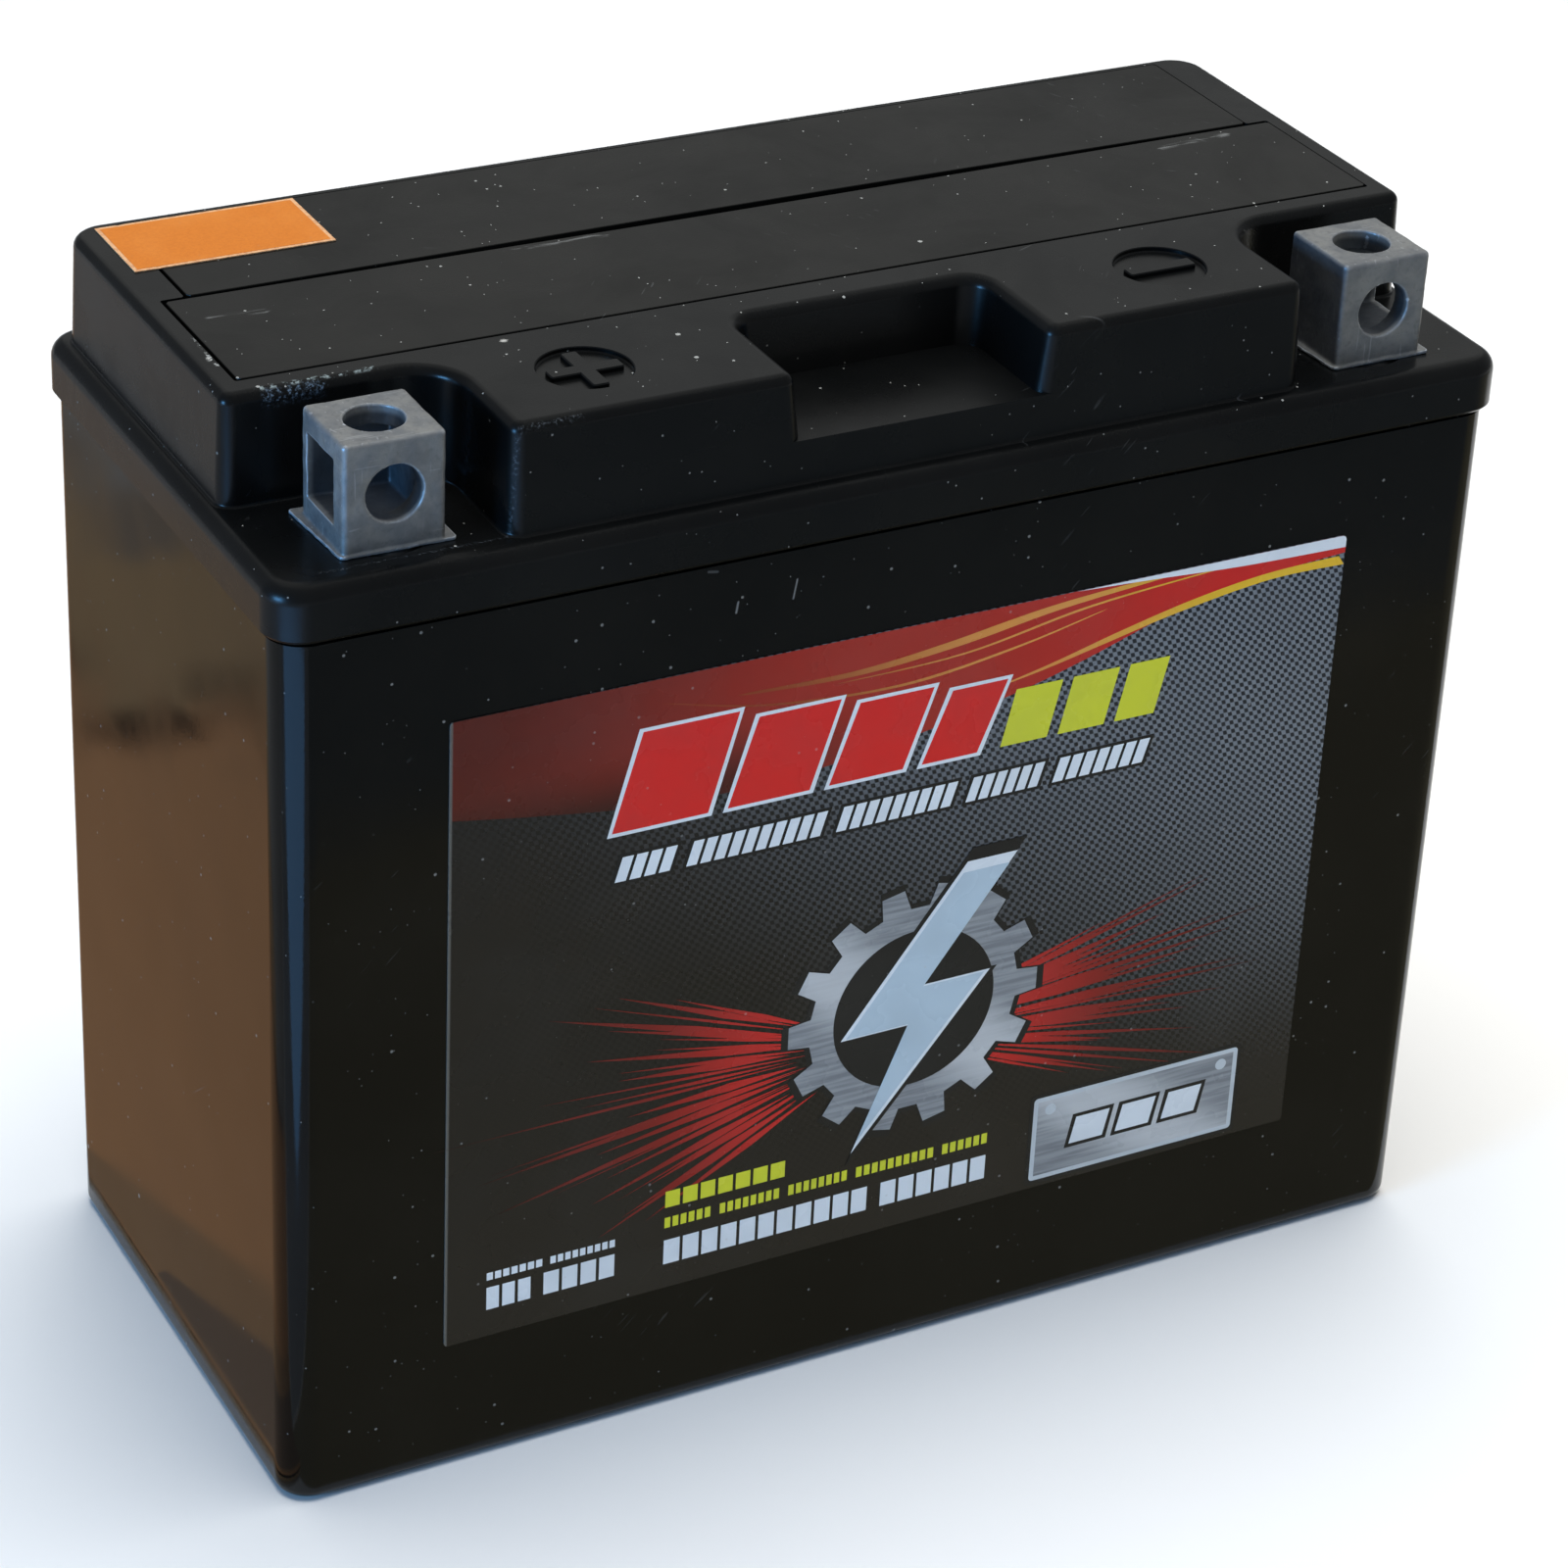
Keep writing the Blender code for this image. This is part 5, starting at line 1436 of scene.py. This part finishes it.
def stage_material(name, color, glow=(0.0, 0.0, 0.0)):
    material = bpy.data.materials.new(name)
    material.use_nodes = True
    shader = material.node_tree.nodes["Principled BSDF"]
    shader.inputs["Base Color"].default_value = (*color, 1.0)
    shader.inputs["Roughness"].default_value = 0.9
    shader.inputs["Specular IOR Level"].default_value = 0.0
    shader.inputs["Emission Color"].default_value = (*glow, 1.0)
    shader.inputs["Emission Strength"].default_value = 1.0
    return material


def build_floor():
    floor = make_piece("floor", solid(box, -3.0, 3.0, -3.0, 3.0, -0.01, -0.0002))
    floor.data.materials.append(stage_material("pale_floor", (0.90, 0.90, 0.89)))


def reflection_card(name, level, outline, glow):
    """A glowing card on the floor that only glossy rays see, as a studio flag tints reflections.

    Where cards overlap, the one with the higher level hides the others. The outline is (x, y) in mm.
    """
    low = 0.4 * MM * level
    rings = [[(x * MM, y * MM, z) for x, y in outline] for z in (low, low + 0.3 * MM)]
    card = make_piece(name, solid(loft, rings))
    card.data.materials.append(stage_material(name, (0.0, 0.0, 0.0), glow))
    for flag in ("visible_camera", "visible_diffuse", "visible_transmission", "visible_shadow"):
        setattr(card, flag, False)


def card_outline(x_low, x_high, y_low, y_high):
    return [(x_low, y_low), (x_high, y_low), (x_high, y_high), (x_low, y_high)]


def room_edge(shift):
    """A card beside the case whose far edge is the wavy line that the side wall mirrors."""
    outline = [(CARD_X, CARD_Y), (CARD_X, 600)]
    return outline + [(x - 0.6 * shift, y + 1.5 * shift) for x, y in ROOM_WAVE]


def foot_wedge(front_reach, far_end):
    """A wedge on the floor along the case's foot, widest at the front, that darkens the foot's reflection."""
    return [(CARD_X, CARD_Y), (CARD_X, far_end), (CARD_X - 1, far_end), (-front_reach, CARD_Y)]


def build_cards():
    for name, level, outline, glow in (
        ("dark_card", 0, card_outline(-85, 600, -170, CARD_Y), (0.28, 0.265, 0.19)),
        ("far_card", 0, card_outline(-85, 600, -750, -170), (0.16, 0.19, 0.21)),
        ("cool_card", 0, card_outline(-600, -86, -600, -37), (0.34, 0.38, 0.44)),
        ("window_pool", 1, card_outline(-300, -120, -220, -75), (0.70, 1.50, 2.80)),
        ("grey_card", 0, card_outline(-600, CARD_X, CARD_Y, 600), (0.36, 0.37, 0.38)),
        ("dim_card", 1, room_edge(52), (0.27, 0.225, 0.185)),
        ("olive_card", 2, room_edge(37), (0.44, 0.315, 0.185)),
        ("shadow_card", 3, room_edge(6), (0.03, 0.02, 0.015)),
        ("warm_card", 4, room_edge(0), (0.60, 0.335, 0.175)),
        ("foot_card_wide", 5, foot_wedge(98, 40), (0.42, 0.27, 0.16)),
        ("foot_card_close", 6, foot_wedge(90, 10), (0.24, 0.18, 0.14)),
    ):
        reflection_card(name, level, outline, glow)


def area_light(name, place, aim, size, color, power):
    light = bpy.data.lights.new(name, "AREA")
    light.shape = "RECTANGLE"
    light.size, light.size_y = size
    light.color = color
    light.energy = power
    holder = bpy.data.objects.new(name, light)
    holder.location = place
    holder.rotation_euler = (Vector(aim) - Vector(place)).to_track_quat("-Z", "Y").to_euler()
    bpy.context.scene.collection.objects.link(holder)
    return holder


def build_lights():
    world = bpy.data.worlds.new("studio")
    bpy.context.scene.world = world
    world.use_nodes = True
    background = world.node_tree.nodes["Background"]
    background.inputs["Color"].default_value = (0.92, 0.96, 1.0, 1.0)
    background.inputs["Strength"].default_value = 0.18
    target = (0.0, 0.0, 0.08)
    key = area_light("top_key", (0.10, 0.05, 1.0), target, (0.9, 0.9), (1.0, 0.99, 0.97), 13.0)
    key.visible_glossy = False
    area_light("back_softbox", (0.50, 0.90, 1.30), (0.0, 0.0, 0.12), (1.8, 2.2), (1.0, 1.0, 0.95), 2.85)
    area_light("window_left", (-0.95, -0.20, 0.25), target, (0.30, 0.26), (0.16, 0.50, 1.0), 6.5)
    build_cards()


def build_camera():
    data = bpy.data.cameras.new("camera")
    data.lens = 106.21
    data.sensor_width = 36.0
    data.shift_x = 0.0016
    data.shift_y = -0.0844
    camera = bpy.data.objects.new("camera", data)
    camera.location = (-0.22661, -0.41501, 0.33113)
    camera.rotation_euler = [math.radians(angle) for angle in (61.638, -2.454, -27.508)]
    bpy.context.scene.collection.objects.link(camera)
    bpy.context.scene.camera = camera
    bpy.context.scene.view_settings.view_transform = "Standard"


def main():
    rubber = soft_rubber()
    lead = cast_lead()
    plates = plate_plastic()
    build_case(case_plastic())
    build_lid(lid_plastic())
    build_plug_strip(plates)
    build_vent_cover(plates)
    for number in range(1, CELLS + 1):
        build_valve_cap(number, rubber)
    for name, side in (("positive_terminal", -1), ("negative_terminal", 1)):
        build_terminal(name, side, lead)
        build_seal(f"{name}_seal", rubber)
    build_label()
    build_sticker()
    dress_cad_nodes()
    build_floor()
    build_lights()
    build_camera()


main()
